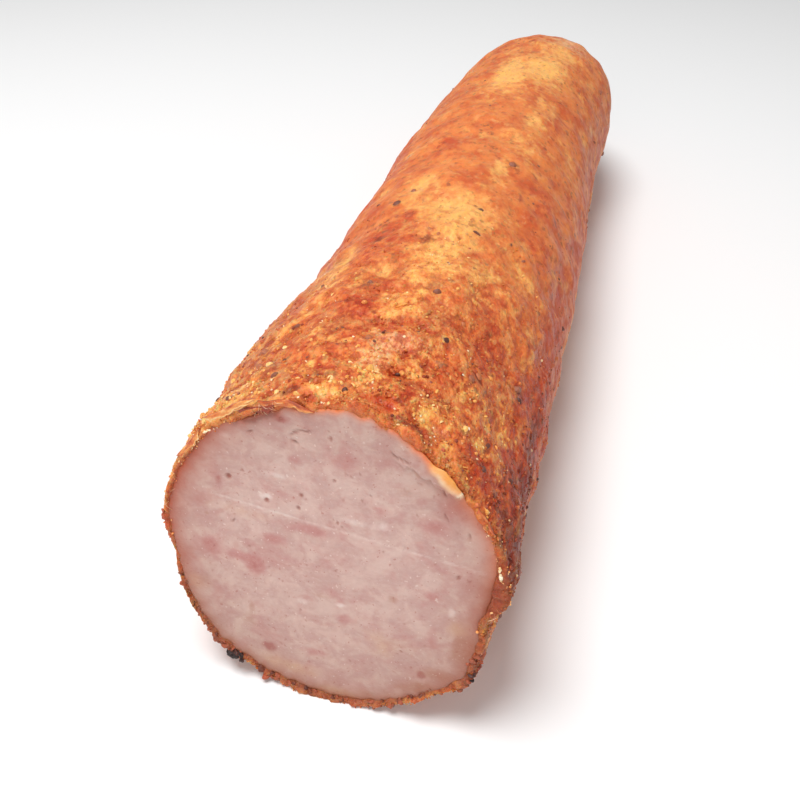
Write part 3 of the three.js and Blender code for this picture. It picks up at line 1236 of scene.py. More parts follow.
BROWN_PIECES_AND_SHADE = [
    (10, -2.7, 0.7, 0.6, 1.0),
    # These pieces at the lower right are partly brown meat and partly painted shade there.
    (17, -14.3, 2.4, 1.1, 1.0),
    (19.8, -9.6, 1.5, 1.9, 0.8),
    (21.8, -7.6, 0.9, 2.2, 0.7),
    (14.6, -17.2, 2.6, 0.9, 0.8),
    (12.5, -18.3, 2.6, 0.7, 0.7),
    (20, -8, 1.2, 2.2, 0.8),
    (-18.6, -7.6, 1.8, 1.2, 0.6),
    (-11.8, -13.2, 1.3, 1.2, 0.6),
    (-11.3, -10.6, 0.5, 1.4, 0.7),
    (-0.5, -5.2, 1.3, 0.6, 0.5),
    (6.5, -21.4, 2.2, 0.8, 0.6),
    (10.7, 14.8, 0.9, 0.8, 0.6),
    (-17.6, 4.3, 0.4, 0.3, 0.8),
]
BEIGE_PIECES = [
    (2.6, -23.3, 3.4, 1.3, 1.2),
    (-6, -20, 6.0, 1.7, 0.7),
    (19.5, -5.5, 2.0, 1.6, 0.7),
    (-20.5, -8.5, 1.8, 1.4, 0.7),
    (9, -11, 4.0, 2.5, 0.5),
    (-12, 6, 5.0, 1.2, 0.4),
]
WHITE_PIECES = [
    (-8.6, 9.4, 1.2, 0.6, 0.8),
    (2.4, -6.0, 0.8, 0.4, 1.0),
    (18.2, -2.6, 0.5, 0.9, 1.0),
    (-3.3, -6.9, 1.0, 0.6, 0.6),
    (8.2, 8.7, 1.0, 0.7, 0.6),
    (-7, 13, 2.5, 0.5, 0.5),
    (4, 8.4, 3.0, 0.5, 0.5),
    (-14.4, 17.4, 0.8, 0.5, 0.7),
]
# Pores: right, up and radius in mm, and how deep, as a share of PORE_DEPTH.
PORES = [
    (-14, 11.2, 0.46, 0.5),
    (-11.9, 12.6, 0.26, 0.3),
    (-3.8, 8.7, 0.34, 0.35),
    (-8.4, 8.8, 0.4, 0.3),
    (1.2, 14.1, 0.26, 0.35),
    (2.8, 15.4, 0.2, 0.25),
    (3.5, 15.2, 0.2, 0.25),
    (4.7, 15.9, 0.22, 0.25),
    (6.2, 13, 0.2, 0.25),
    (5.1, 12, 0.2, 0.25),
    (18.6, 3.4, 0.32, 0.45),
    (20.1, 3.1, 0.24, 0.2),
    (-11.3, 0.4, 0.22, 0.25),
    (1.8, 7.7, 0.24, 0.3),
    (2.4, 7.2, 0.2, 0.25),
    (-6.2, 21.5, 0.34, 0.3),
    (0.6, 20.1, 0.34, 0.3),
    (-3.4, 10.8, 0.34, 0.15),
    (-3.6, -8.7, 0.22, 0.25),
    (4.1, -15.9, 0.22, 0.2),
    (11.6, -11.6, 0.26, 0.25),
    (-16.8, -1.0, 0.2, 0.25),
    (12.5, 11.6, 0.2, 0.2),
    (17.8, 10.3, 0.2, 0.25),
    (-2.6, -0.4, 0.2, 0.2),
    (1.6, -0.2, 0.22, 0.2),
    (8.3, 4.8, 0.2, 0.2),
]
# Little slits: right, up, half length, half width, turn in degrees.
SLITS = [
    (-4.2, 20.0, 1.0, 0.16, 32),
    (-2.9, 20.4, 0.9, 0.15, 12),
    (-10.5, 18.7, 0.6, 0.18, 25),
    (-4.3, 18.6, 0.6, 0.2, -10),
    (16.2, 12.3, 0.7, 0.16, -60),
    (19.5, 10, 0.7, 0.16, -75),
    (15.7, 15.6, 0.6, 0.16, -50),
    (-13.6, 4.1, 0.45, 0.15, 50),
    (9.8, 19.3, 1.6, 0.16, -15),
]
MEAT_AROUND = 400
MEAT_RINGS = 96
# Rings of the meat's sides: mm from the cut, and shares of the closed end's dome.
SIDE_PLACES = (0.7, 1.8, 3.2, 6, 12, 30, 60, 100, 140)
DOME_STEPS = (0.3, 0.55, 0.75, 0.9, 0.97)
UNDER_SKIN = 0.55  # how far inside the skin they lie
# How far the middle of the cut stands forward, and how far its edge lies behind that.
CUT_FORWARD = 0.36
CUT_DOMING = 0.22
PORE_DEPTH = 0.35
SLIT_DEPTH = 0.22
KNIFE_SLOPE = -0.075  # the knife has dragged lines across the cut, falling a little to the right
RIPPLE_HEIGHT = 0.002
SCRATCH_DEPTH = 0.05
LONG_SCRATCH = (6.6, 0.26)  # mm above the middle, and half its width
FAINT_SCRATCH = (7.7, 0.2)
LAYER_HEIGHT = 0.3  # the thin layer at the upper right
STRIP_HEIGHT = 0.35
# How far the edge of the cut is rounded back, and how wide: where the skin lies close and where it doesn't.
EDGE_DROP = (0.16, 0.45)
EDGE_ROUNDING = (0.25, 0.6)
SMALL_PORES = {"seed": 19, "count": 150, "radius": (0.1, 0.2)}


def spread_pieces(pieces, x, z):
    """How strongly pieces of one colour show in the cut meat."""
    total = np.zeros_like(x)
    for right, up, wide, high, strong in pieces:
        total += strong * np.exp(-(((x - right) / wide) ** 2) - ((z - up) / high) ** 2)
    return total


def slit_depth(x, z):
    """1 along the little slits, 0 away from them."""
    total = np.zeros_like(x)
    for right, up, long, wide, turn in SLITS:
        c, s = math.cos(math.radians(turn)), math.sin(math.radians(turn))
        u = (x - right) * c + (z - up) * s
        v = (z - up) * c - (x - right) * s
        total = np.maximum(total, smoothstep(np.hypot(u / long, (v - 0.08 * u * u) / wide), 1.3, 0.5))
    return total


def small_pores(reach):
    """Pores scattered up to a distance from the middle of the cut."""
    draw = draws(SMALL_PORES["seed"])
    found = []
    while len(found) < SMALL_PORES["count"]:
        x, z = (lerp(-reach, reach, next(draw)) for _ in range(2))
        size = lerp(*SMALL_PORES["radius"], next(draw) ** 2)
        if math.hypot(x, z) < reach:
            found.append((x, z, size, 0.8 * size))
    return found


def cut_face(form, x, z, inwards, around):
    """How far the cut meat stands forward, and its colour masks, at places right and up of the middle."""
    out = np.hypot(x, z) / form.cut_radius
    forward = CUT_FORWARD - CUT_DOMING * out**2
    drag = z - KNIFE_SLOPE * x
    ripple = np.sin(drag * 5.1 + 0.8 * np.sin(x * 0.23)) + 0.6 * np.sin(drag * 11.3 + np.sin(x * 0.31))
    forward = forward + RIPPLE_HEIGHT * ripple
    # One long scratch and a fainter one above its left part, both broken up along their way.
    broken = 0.5 + 0.5 * np.sin(1.7 * x + np.sin(0.9 * x)) * np.sin(0.6 * x + 1)
    height, wide = LONG_SCRATCH
    scratch = np.exp(-(((drag - height) / wide) ** 2)) * smoothstep(x, -20, -14) * lerp(0.7, 1.1, broken)
    height, wide = FAINT_SCRATCH
    scratch += 0.5 * np.exp(-(((drag - height - 0.02 * x) / wide) ** 2)) * smoothstep(x, 4, -6) * broken
    forward = forward - SCRATCH_DEPTH * scratch

    # Painted shade: the pores and slits are coloured darker inside.
    pore_shade = np.zeros_like(x)
    pores = PORES + small_pores(0.9 * form.cut_radius)
    for right, up, radius, depth in pores:
        hole = smoothstep(np.hypot(x - right, z - up), 1.25 * radius, 0.45 * radius)
        forward = forward - PORE_DEPTH * depth * hole
        pore_shade = np.maximum(pore_shade, hole * min(1, 2.6 * radius))
    slits = slit_depth(x, z)
    forward = forward - SLIT_DEPTH * slits

    # A thin layer of the slice stands proud along the upper right edge, with a torn, toothed border.
    degrees = np.degrees(around)
    teeth = 0.07 * np.sin(around * 210) + 0.06 * np.sin(around * 137 + 1) + 0.12 * np.sin(around * 61)
    from_skin = inwards - STRIP_OVERLAP * near(around, *STRIP)
    reach = np.interp(degrees, *np.transpose(LAYER_REACH), left=0, right=0)
    there = smoothstep(degrees, 38, 42) * smoothstep(degrees, 67, 57)
    layer = smoothstep(reach + teeth - from_skin, -0.07, 0.07) * there
    over_skin = near(around, *STRIP) * smoothstep(from_skin, 1.6, 0.2)
    forward = forward + LAYER_HEIGHT * layer + STRIP_HEIGHT * over_skin
    # Painted shadow under the layer's toothed border, which the brown mask lays on.
    shade = smoothstep(reach + 0.4 + teeth - from_skin, -0.3, 0.25) * there
    strip_reach = 0.75 * near(around, 47.5, 6) - 0.15
    strip = smoothstep(strip_reach - from_skin, -0.6, 0.4) * smoothstep(near(around, 48.5, 6.5), 0.15, 0.6)
    off_tip = np.abs(degrees - TIP_OF_STRIP)
    masks = {
        "rose": spread_pieces(ROSE_PIECES, x, z),
        "red": spread_pieces(RED_PIECES, x, z),
        # The brown mask also carries the painted shadow under the thin layer.
        "brown": np.maximum(spread_pieces(BROWN_PIECES_AND_SHADE, x, z), 0.5 * shade * (1 - layer)),
        "beige": spread_pieces(BEIGE_PIECES, x, z),
        "white": np.maximum(spread_pieces(WHITE_PIECES, x, z), np.maximum(0.5 * scratch, 0.42 * layer)),
        "pore_shade": np.clip(0.85 * pore_shade + 0.5 * slits, 0, 1),
        "strip": 0.85 * strip,
        "creamy": 0.7 * smoothstep(from_skin, -0.5, 0.45),
        "tip": 0.9 * smoothstep(off_tip, 1.0, 0.4) * smoothstep(from_skin, 1.2, 0.3),
        # Painted shade: the cut meat grows darker towards its edge and towards its bottom.
        "edge": 0.5 * smoothstep(out, 0.5, 0.95) + 0.42 * smoothstep(-z, -6, 20),
    }
    masks.update(stains(around, from_skin))
    return forward, masks


def meat_mesh(form):
    """The meat, filling the skin: a finely made cut face, and plain sides where the skin hides it."""
    angle = 2 * math.pi * np.arange(MEAT_AROUND) / MEAT_AROUND
    gap = form.skin_at(angle)[0]
    edge = meat_edge(form, angle)

    share = (np.arange(1, MEAT_RINGS + 1) / MEAT_RINGS)[:, None]
    radius = share * edge[None]
    around = np.broadcast_to(angle, radius.shape)
    x, z = radius * np.cos(around), radius * np.sin(around)
    inwards = edge[None] - radius
    forward, masks = cut_face(form, x, z, inwards, around)
    lifted = smoothstep(gap, 0.25, 0.7)[None]
    rounding = lerp(*EDGE_ROUNDING, lifted)
    forward = forward - lerp(*EDGE_DROP, lifted) * np.exp(-((inwards / rounding) ** 2))
    face = form.place(around, 0.0, radius, forward)

    sides = []
    for along in (*SIDE_PLACES, form.body_length):
        inner = form.plain_radius(along) - form.skin - UNDER_SKIN
        under_skin = np.minimum(edge, form.radius(angle, along) - form.skin - 0.1) - 0.1 * min(along, 3)
        sides.append(form.place(angle, along, lerp(under_skin, inner, smoothstep(along, 0.5, 9))))
    for step in DOME_STEPS:
        along = form.body_length + (DOME_LENGTH - 2) * step
        inner = form.plain_radius(along) - form.skin - UNDER_SKIN
        sides.append(form.place(angle, along, np.full_like(angle, inner)))
    points = np.concatenate([face.reshape(-1, 3), np.concatenate(sides)])
    count = MEAT_RINGS + len(sides)
    zero = np.zeros(1)
    centre_forward, centre_masks = cut_face(form, zero, zero, np.full(1, form.cut_radius), zero)
    front = form.place(0.0, 0.0, 0.0, centre_forward[0])
    back = form.place(0.0, form.length - 3.0, 0.0)
    points = np.concatenate([points, front[None], back[None]])
    attributes = {}
    for key, values in masks.items():
        hidden = np.tile(values[-1], len(sides)) if key in STAINS else np.zeros(len(sides) * MEAT_AROUND)
        attributes[key] = np.concatenate([values.ravel(), hidden, centre_masks[key], [0]])
    return points, closed_tube_faces(count, MEAT_AROUND), attributes


# ---------------------------------------------------------------- bits on the crust

# The large grains stand where the solid has its own, found by the same seeded rule.
GRAINS = {"count": 60, "radius": (0.7, 1.25), "clear_of_cut": 5, "clear_of_tip": 30, "seed": 71}
SHAPE_DRAWS = 6  # more draws that the rule makes for the shape of each grain of the solid
LUMP_SHARE = 0.72  # radius of the uneven lump, in radii of the solid's grain
SMALL_GRAINS = {"count": 150, "radius": (0.16, 0.38), "seed": 303}
PEPPER_SUNK = 0.55  # share of its radius that a grain is sunk into the skin
CRUMB_SUNK = 0.35
GRANULE_SUNK = 0.62
PEPPER_CLEAR = 28  # degrees beside the underside that stay free of pepper
CLEAR = 24  # and of smaller bits
SHORTEST_FROM_CUT = 0.2
GRANULE_REACH = 68  # the crust's own granules end so far from the cut
GRANULE_SIZES = (0.12, 0.38)
# Pepper that shows in the view: around, along, radius in mm.
SEEN_PEPPER = [
    (66, 25, 0.62),
    (53, 20, 0.7),
    (51, 22.4, 0.62),
    (34, 28.5, 0.8),
    (32, 26.6, 0.6),
    (64, 18.2, 0.5),
    (61, 17.4, 0.42),
    (63, 31, 0.42),
    (118, 24, 0.5),
    (85, 21, 0.4),
    (103, 2.2, 0.5),
    (75, 12, 0.35),
    (14, 31, 0.5),
    (58, 60, 0.55),
    (90, 52, 0.6),
    (71, 90, 0.8),
    (100, 35.5, 0.55),
    (25, 11.5, 0.5),
]


def skin_points(form, around, along, sink):
    """Places on the skin, sunk into it by so many mm."""
    angle = np.radians(around)
    return form.place(angle, along, form.radius(angle, along) - sink)


def pepper_points(form):
    """The largest grains, in the places that the solid has them, and smaller ones among them."""
    draw = draws(GRAINS["seed"])
    found = []
    for _ in range(GRAINS["count"]):
        around = lerp(-30, 210, next(draw))
        along = lerp(GRAINS["clear_of_cut"], form.length - GRAINS["clear_of_tip"], next(draw) ** 2)
        radius = lerp(*GRAINS["radius"], next(draw) ** 2)
        for _ in range(SHAPE_DRAWS):
            next(draw)
        found.append((around, along, LUMP_SHARE * radius))
    found += SEEN_PEPPER
    draw = draws(SMALL_GRAINS["seed"])
    for _ in range(SMALL_GRAINS["count"]):
        around = lerp(0, 360, next(draw))
        along = lerp(1, form.length - 20, next(draw) ** 1.5)
        found.append((around, along, lerp(*SMALL_GRAINS["radius"], next(draw) ** 2)))
    around, along, radius = np.array(found).T
    keep = np.abs(np.mod(around, 360) - UNDERSIDE) > PEPPER_CLEAR
    around, along, radius = around[keep], along[keep], radius[keep]
    tints = np.array([next(draw) for _ in radius])
    tints = np.maximum(tints, 0.75 * smoothstep(along, 30, 90))
    return skin_points(form, around, along, PEPPER_SUNK * radius), radius, tints


def crumb_points(form, seed, count, sizes, reach):
    """Crumbs all over the skin, crowded near the cut and few further off."""
    draw = draws(seed)
    found = []
    while len(found) < count:
        around = lerp(0, 360, next(draw))
        along = SHORTEST_FROM_CUT - reach * math.log(max(1e-6, 1 - next(draw)))
        size = lerp(*sizes, next(draw) ** 2.2)
        tint = next(draw)
        if along < form.length - 8 and abs(around - UNDERSIDE) > CLEAR:
            found.append((around, along, size * lerp(1, 0.6, min(1, along / 80)), tint))
    around, along, size, tint = np.array(found).T
    angle = np.radians(around)
    # The crumbs take their tints from the patches, painted shade and highlight included.
    golden = painted(GOLDEN_AND_HIGHLIGHT, angle, along) - 0.7 * painted(REDDISH_AND_FLANK_SHADE, angle, along)
    dark = painted(SCORCHED, angle, along)
    tint = np.clip(0.62 * tint + 0.16 + 0.4 * np.clip(golden, -0.8, 0.8) - 0.4 * np.clip(dark, 0, 1), 0, 1)
    return skin_points(form, around, along, CRUMB_SUNK * size), size, tint


# Single bits at the edge of the cut: direction, mm inside the edge, mm forward, size, tint.
SEEN_CRAGS = [
    (236, 0.2, 0.1, 1.2, 0.0),
    (234, 0.0, 0.0, 1.0, 0.0),
    (237.5, 0.3, 0.2, 0.9, 0.05),
    (235, 0.5, 0.1, 0.9, 0.1),
    (248, -0.1, 0.1, 0.8, 0.85),
    (250, 0.1, 0.0, 0.6, 0.8),
    (256, -0.1, 0.1, 0.6, 0.95),
    (265, 0.2, 0.0, 0.7, 0.4),
    (268, 0.0, 0.1, 0.5, 0.1),
    (244, 0.3, 0.1, 0.5, 0.6),
    (223, 0.1, 0.1, 0.6, 0.7),
    (227, 0.1, 0.0, 0.55, 0.6),
    (176, -0.2, 0.0, 0.6, 0.9),
    (174, -0.3, 0.0, 0.4, 0.8),
    (330, 0.0, 0.0, 0.5, 0.1),
    (328, -0.2, 0.0, 0.3, 0.0),
    (322, 0.1, 0.0, 0.6, 0.5),
    (338, 0.0, 0.1, 0.5, 0.7),
    (296, 0.0, 0.0, 0.4, 0.5),
    (281, 0.1, 0.0, 0.5, 0.6),
    (310, 0.1, 0.0, 0.5, 0.4),
]
SEEN_CREAM = [
    (15.6, 0.85, 0.42, 0.24, 0.8),
    (14.8, 0.9, 0.45, 0.3, 0.9),
    (14.2, 1.0, 0.45, 0.26, 1.0),
    (13.4, 0.95, 0.42, 0.34, 0.95),
    (12.7, 1.05, 0.45, 0.28, 1.0),
    (12.1, 1.0, 0.42, 0.38, 1.0),
    (11.4, 1.1, 0.42, 0.3, 0.9),
    (10.8, 1.0, 0.4, 0.24, 0.8),
    (18, 0.9, 0.4, 0.18, 0.7),
    (21, 0.85, 0.4, 0.16, 0.6),
    (358, 1.1, 0.4, 0.2, 0.7),
    (357.3, 1.0, 0.4, 0.16, 0.6),
    (348, 0.9, 0.3, 0.2, 0.5),
    (134.3, 0.35, 0.42, 0.2, 0.9),
    (133.7, 0.45, 0.45, 0.24, 1.0),
    (133.1, 0.4, 0.42, 0.2, 0.9),
    (132.5, 0.5, 0.42, 0.24, 0.95),
    (135, 0.3, 0.4, 0.16, 0.85),
    (143.5, 0.5, 0.38, 0.22, 0.9),
    (142.9, 0.45, 0.38, 0.18, 0.95),
    (141, 0.3, 0.4, 0.16, 1.0),
    (151, 0.4, 0.3, 0.2, 0.8),
    (99, 0.1, -2.2, 0.45, 0.55),
]


def single_points(form, bits):
    """Points for single bits at the edge of the cut; a bit's radius is a share of its size."""
    angle, inwards, forward, size, tint = np.array(bits).T
    angle = np.radians(angle)
    places = form.place(angle, 0.0, form.radius(angle, 0.0) - inwards - 0.1, forward)
    return places, 0.62 * size, tint


def rim_points(form, seed, count, arcs, sizes, forwards):
    """Bits along the edge of the cut, in arcs given as from and to in degrees, at a share of its lift."""
    draw = draws(seed)
    found = []
    for i in range(count):
        low, high = arcs[i % len(arcs)]
        angle = math.radians(lerp(low, high, next(draw)))
        size = lerp(*sizes, next(draw) ** 1.5)
        inwards = lerp(-0.1, 1.1, next(draw))
        found.append((angle, size, inwards, next(draw)))
    angle, size, inwards, tint = np.array(found).T
    forward = forwards * form.skin_at(angle)[1]
    places = form.place(angle, 0.0, form.radius(angle, 0.0) - inwards * form.skin, forward)
    return places, size, tint


def granule_points(form, seed, count):
    """Grains that are part of the crust itself: they take its colours, each a little lighter or darker."""
    draw = draws(seed)
    found = []
    while len(found) < count:
        around = lerp(0, 360, next(draw))
        along = max(0, (GRANULE_REACH + 0.5) * next(draw) ** 2 - 0.5)
        size = lerp(*GRANULE_SIZES, next(draw) ** 2) * lerp(1, 0.7, along / GRANULE_REACH)
        tint = lerp(-0.32, 0.32, next(draw)) * (0.4 if along == 0 else 1)
        inwards = lerp(0, 0.75, next(draw)) if along == 0 else 0
        if abs(around - UNDERSIDE) > CLEAR or along < 1.5:
            on_lip = 0.26 if 125 < around < 205 else 0.5
            found.append((math.radians(around), along, size * (on_lip if inwards else 1), tint, inwards))
    angle, along, size, tint, inwards = np.array(found).T
    lift = np.where(inwards > 0, 0.7 * form.skin_at(angle)[1], 0) * held_down(angle)
    sink = GRANULE_SUNK * size * (inwards == 0)
    radius = form.radius(angle, along) - inwards * skin_width(form, angle) - sink
    places = form.place(angle, along, radius, lift)
    masks = crust_masks(angle, along)
    # Painted light: the granules out on the crust are made lighter.
    masks.update({"height": 0.2 * (inwards == 0), "lip": 0.9 * (inwards > 0)})
    masks.update({name: share * inwards for name, share in stains(angle, 0 * along).items()})
    return places, size, tint, masks


def make_bits(name, points, material, seed, faces=1, uneven=0.4, shape=(0.6, 1.4)):
    """Makes a piece of the crust with a bit on every point: places, sizes, tints and perhaps masks.

    Its shape is the least and the most that a bit is stretched; more faces make it finer.
    """
    places, sizes, tints, *masks = points
    places = np.array(places)
    places[:, 2] = np.maximum(places[:, 2], 1.2 * sizes)  # none below the floor
    values = {"size": sizes * MM, "tint": tints}
    for more in masks:
        values.update(more)
    thing = make_object(name, places, [], values)
    inputs = {
        "Faces": faces,
        "Thinnest": shape[0],
        "Longest": shape[1],
        "Unevenness": uneven,
        "Seed": seed,
        "Material": material,
    }
    run_tree(thing, bpy.data.node_groups.get("Bits on points") or bits_tree(), inputs)
    finish_piece(thing, material)


# ---------------------------------------------------------------- torn skin

# Thin layers of skin over the edge of the meat. Each: from and to in degrees, then in mm how far inside the
# edge the layer reaches at its two ends, how far forward its root and its torn border stand, and its tint.
TORN_LAYERS = [
    (112, 94, 0.2, 1.55, 0.3, 0.42, 0.5),
    (127, 115, -0.35, -0.1, 0.42, 0.5, 0.62),
    (132, 112, -0.5, -0.25, 0.5, 0.6, 0.75),
    # This narrow dark layer stands for the shade in the gap between the skin and the meat: painted shade.
    (120, 105, 0.62, 1.05, 0.47, 0.49, -0.35),
    (36, 26, 0.5, 0.8, 0.3, 0.4, 0.45),
    (150, 136, 0.5, 0.35, 0.3, 0.4, 0.6),
]
# Where threads cross from the skin to the meat: from and to in degrees, how many.
THREAD_ARCS = [(118, 106, 14), (112, 108, 5), (2, -8, 5), (172, 150, 6)]
LAYER_ROWS, LAYER_COLUMNS = 90, 9
LAYER_ROOT = 0.75  # width of a layer without its rags
LAYER_THICKNESS = (0.1, 0.03)  # half of it, at the root and at the torn border
THREAD_RINGS = 7


def sheet_faces(rows, columns):
    """Faces of a thin closed sheet: its upper points row by row, then its lower points."""
    grid = np.arange(rows * columns).reshape(rows, columns)
    a, b, c, d = (part.ravel() for part in (grid[:-1, :-1], grid[1:, :-1], grid[1:, 1:], grid[:-1, 1:]))
    lower = rows * columns
    faces = np.stack([d, c, b, a], -1).tolist() + (np.stack([a, b, c, d], -1) + lower).tolist()
    border = [*grid[0, :], *grid[1:, -1], *grid[-1, -2::-1], *grid[-2:0:-1, 0]]
    border = [int(corner) for corner in border]
    for one, two in zip(border, border[1:] + border[:1]):
        faces.append([one + lower, two + lower, two, one])
    return faces


def torn_layers(form):
    """Thin curved sheets with ragged borders, thinning towards them."""
    points, faces, tints = [], [], []
    rows, columns = LAYER_ROWS, LAYER_COLUMNS
    for start, end, reach_start, reach_end, root_forward, torn_forward, tint in TORN_LAYERS:
        t = np.linspace(0, 1, rows)[:, None] + np.zeros((1, columns))
        u = np.linspace(0, 1, columns)[None, :] + np.zeros((rows, 1))
        angle = np.radians(lerp(start, end, t))
        taper = smoothstep(t, 0, 0.12) * smoothstep(1 - t, 0, 0.2)
        ragged = 0.09 * FINE_CRAGS(angle, start) + 0.07 * TATTERS(angle, start)
        reach = lerp(reach_start, reach_end, t)
        root = reach - LAYER_ROOT
        inwards = lerp(root, lerp(root + 0.1, reach + ragged, taper), u)
        lift = lerp(root_forward, torn_forward, np.sin(u * math.pi / 2)) * lerp(0.5, 1, taper)
        lift = lift + 0.03 * FINE_CRAGS(angle, 5 * u + start)
        thick = lerp(*LAYER_THICKNESS, u)
        outer = form.radius(angle, 0.0)
        upper = form.place(angle, 0.0, outer - inwards, lift + thick)
        lower = form.place(angle, 0.0, outer - inwards, lift - thick)
        offset = sum(len(each) for each in points)
        points += [upper.reshape(-1, 3), lower.reshape(-1, 3)]
        faces += [[corner + offset for corner in face] for face in sheet_faces(rows, columns)]
        shade = tint + 0.3 * smoothstep(u, 0.7, 1) - 0.2 * smoothstep(u, 0.5, 0)
        shade = shade + 0.14 * FINE_CRAGS(angle, 3 * u)
        # Painted shade: the lower side of each sheet is made darker.
        tints += [shade.ravel(), shade.ravel() - 0.2]
    return np.concatenate(points), faces, {"tint": np.clip(np.concatenate(tints), 0, 1)}


def torn_threads(form):
    """Threads with four sides, thinning to their ends and sagging a little."""
    draw = draws(89)
    points, faces, tints = [], [], []
    for start, end, count in THREAD_ARCS:
        for _ in range(count):
            angle = math.radians(lerp(start, end, next(draw)))
            sweep = math.radians(lerp(-5, 5, next(draw)))
            inner = lerp(0.5, 1.6, next(draw))
            rise = lerp(0.1, 0.5, next(draw))
            thick = lerp(0.03, 0.075, next(draw))
            tint = next(draw)
            t = np.linspace(0, 1, THREAD_RINGS)
            around = angle + sweep * t
            inwards = lerp(-0.1, inner, t)
            forward = 0.3 + rise * np.sin(math.pi * t) - 0.12 * t
            radius = form.radius(around, 0.0) - inwards
            width = thick * (0.35 + 0.65 * np.sin(math.pi * np.clip(t, 0.08, 0.92)))
            offset = sum(len(each) for each in points)
            corners = []
            for side, ahead in ((1, 0), (0, 1), (-1, 0), (0, -1)):
                shifted = around + side * width / radius
                corners.append(form.place(shifted, 0.0, radius, forward + ahead * width))
            points.append(np.stack(corners, 1).reshape(-1, 3))
            faces += [[corner + offset for corner in face] for face in ring_faces(THREAD_RINGS, 4)]
            last = offset + 4 * (THREAD_RINGS - 1)
            faces += [[offset, offset + 1, offset + 2, offset + 3], [last + 3, last + 2, last + 1, last]]
            tints.append(np.full(THREAD_RINGS * 4, tint))
    return np.concatenate(points), faces, {"tint": np.concatenate(tints)}


# ---------------------------------------------------------------- the stage

# The camera was found from the outline and the oval of the cut; the view looks down on the cut.
CAMERA_PLACE = (0.03066, -0.17878, 0.11501)
CAMERA_PITCH = 0.6715
CAMERA_HEADING = -0.2755
FOCAL_LENGTH = 38.25
SENSOR_WIDTH = 36
# Soft lights: place, size and power, all turned to one point; the world is a dim white round them.
LIGHTS = {"key": ((-0.14, -0.14, 0.75), 0.4, 5), "front_fill": ((0.0, -0.8, 0.35), 0.5, 1.6)}
LIT_POINT = (0, -0.02, 0.02)
WORLD_STRENGTH = 0.3
FLOOR_HALF = 60000


def add_area_light(name, place, target, size, power):
    light = bpy.data.lights.new(name, "AREA")
    light.shape = "DISK"
    light.size = size
    light.energy = power
    thing = bpy.data.objects.new(name, light)
    bpy.context.scene.collection.objects.link(thing)
    thing.location = place
    aim = [b - a for a, b in zip(place, target)]
    flat = math.hypot(aim[0], aim[1])
    thing.rotation_euler = (math.atan2(flat, -aim[2]), 0, math.atan2(-aim[0], aim[1]))


# ---------------------------------------------------------------- the add-on


def length_property(name, description, default):
    return bpy.props.FloatProperty(
        name=name, description=description, default=default, unit="LENGTH", min=0.0
    )


def count_property(name, description, default):
    return bpy.props.IntProperty(name=name, description=description, default=default, min=1)


def colour_property(name, description, colour):
    return bpy.props.FloatVectorProperty(
        name=name, description=description, default=colour, size=4, subtype="COLOR", min=0.0, max=4.0
    )


class SausageSizes(bpy.types.PropertyGroup):
    length: length_property("Length", "From the middle of the cut to the tip of the closed end", 0.219)
    cut_radius: length_property("Cut radius", "To the outside of the crust, at the cut", 0.025)
    skin: length_property("Skin", "Thickness of the skin and crust at the cut", 0.0011)
    lump_size: length_property("Lump size", "Size of the lumps of the crust", 0.0026)
    lump_height: length_property("Lump height", "How far the lumps stand out", 0.0003)
    grain_size: length_property("Grain size", "Size of the grains of the crust", 0.001)
    grain_height: length_property("Grain height", "How far the grains stand out", 0.0002)
    pit_depth: length_property("Pit depth", "Depth of the pits between the lumps", 0.0002)
    granules: count_property("Granules", "Number of grains in the crust", 9800)
    crumbs: count_property("Crumbs", "Number of loose crumbs", 2600)


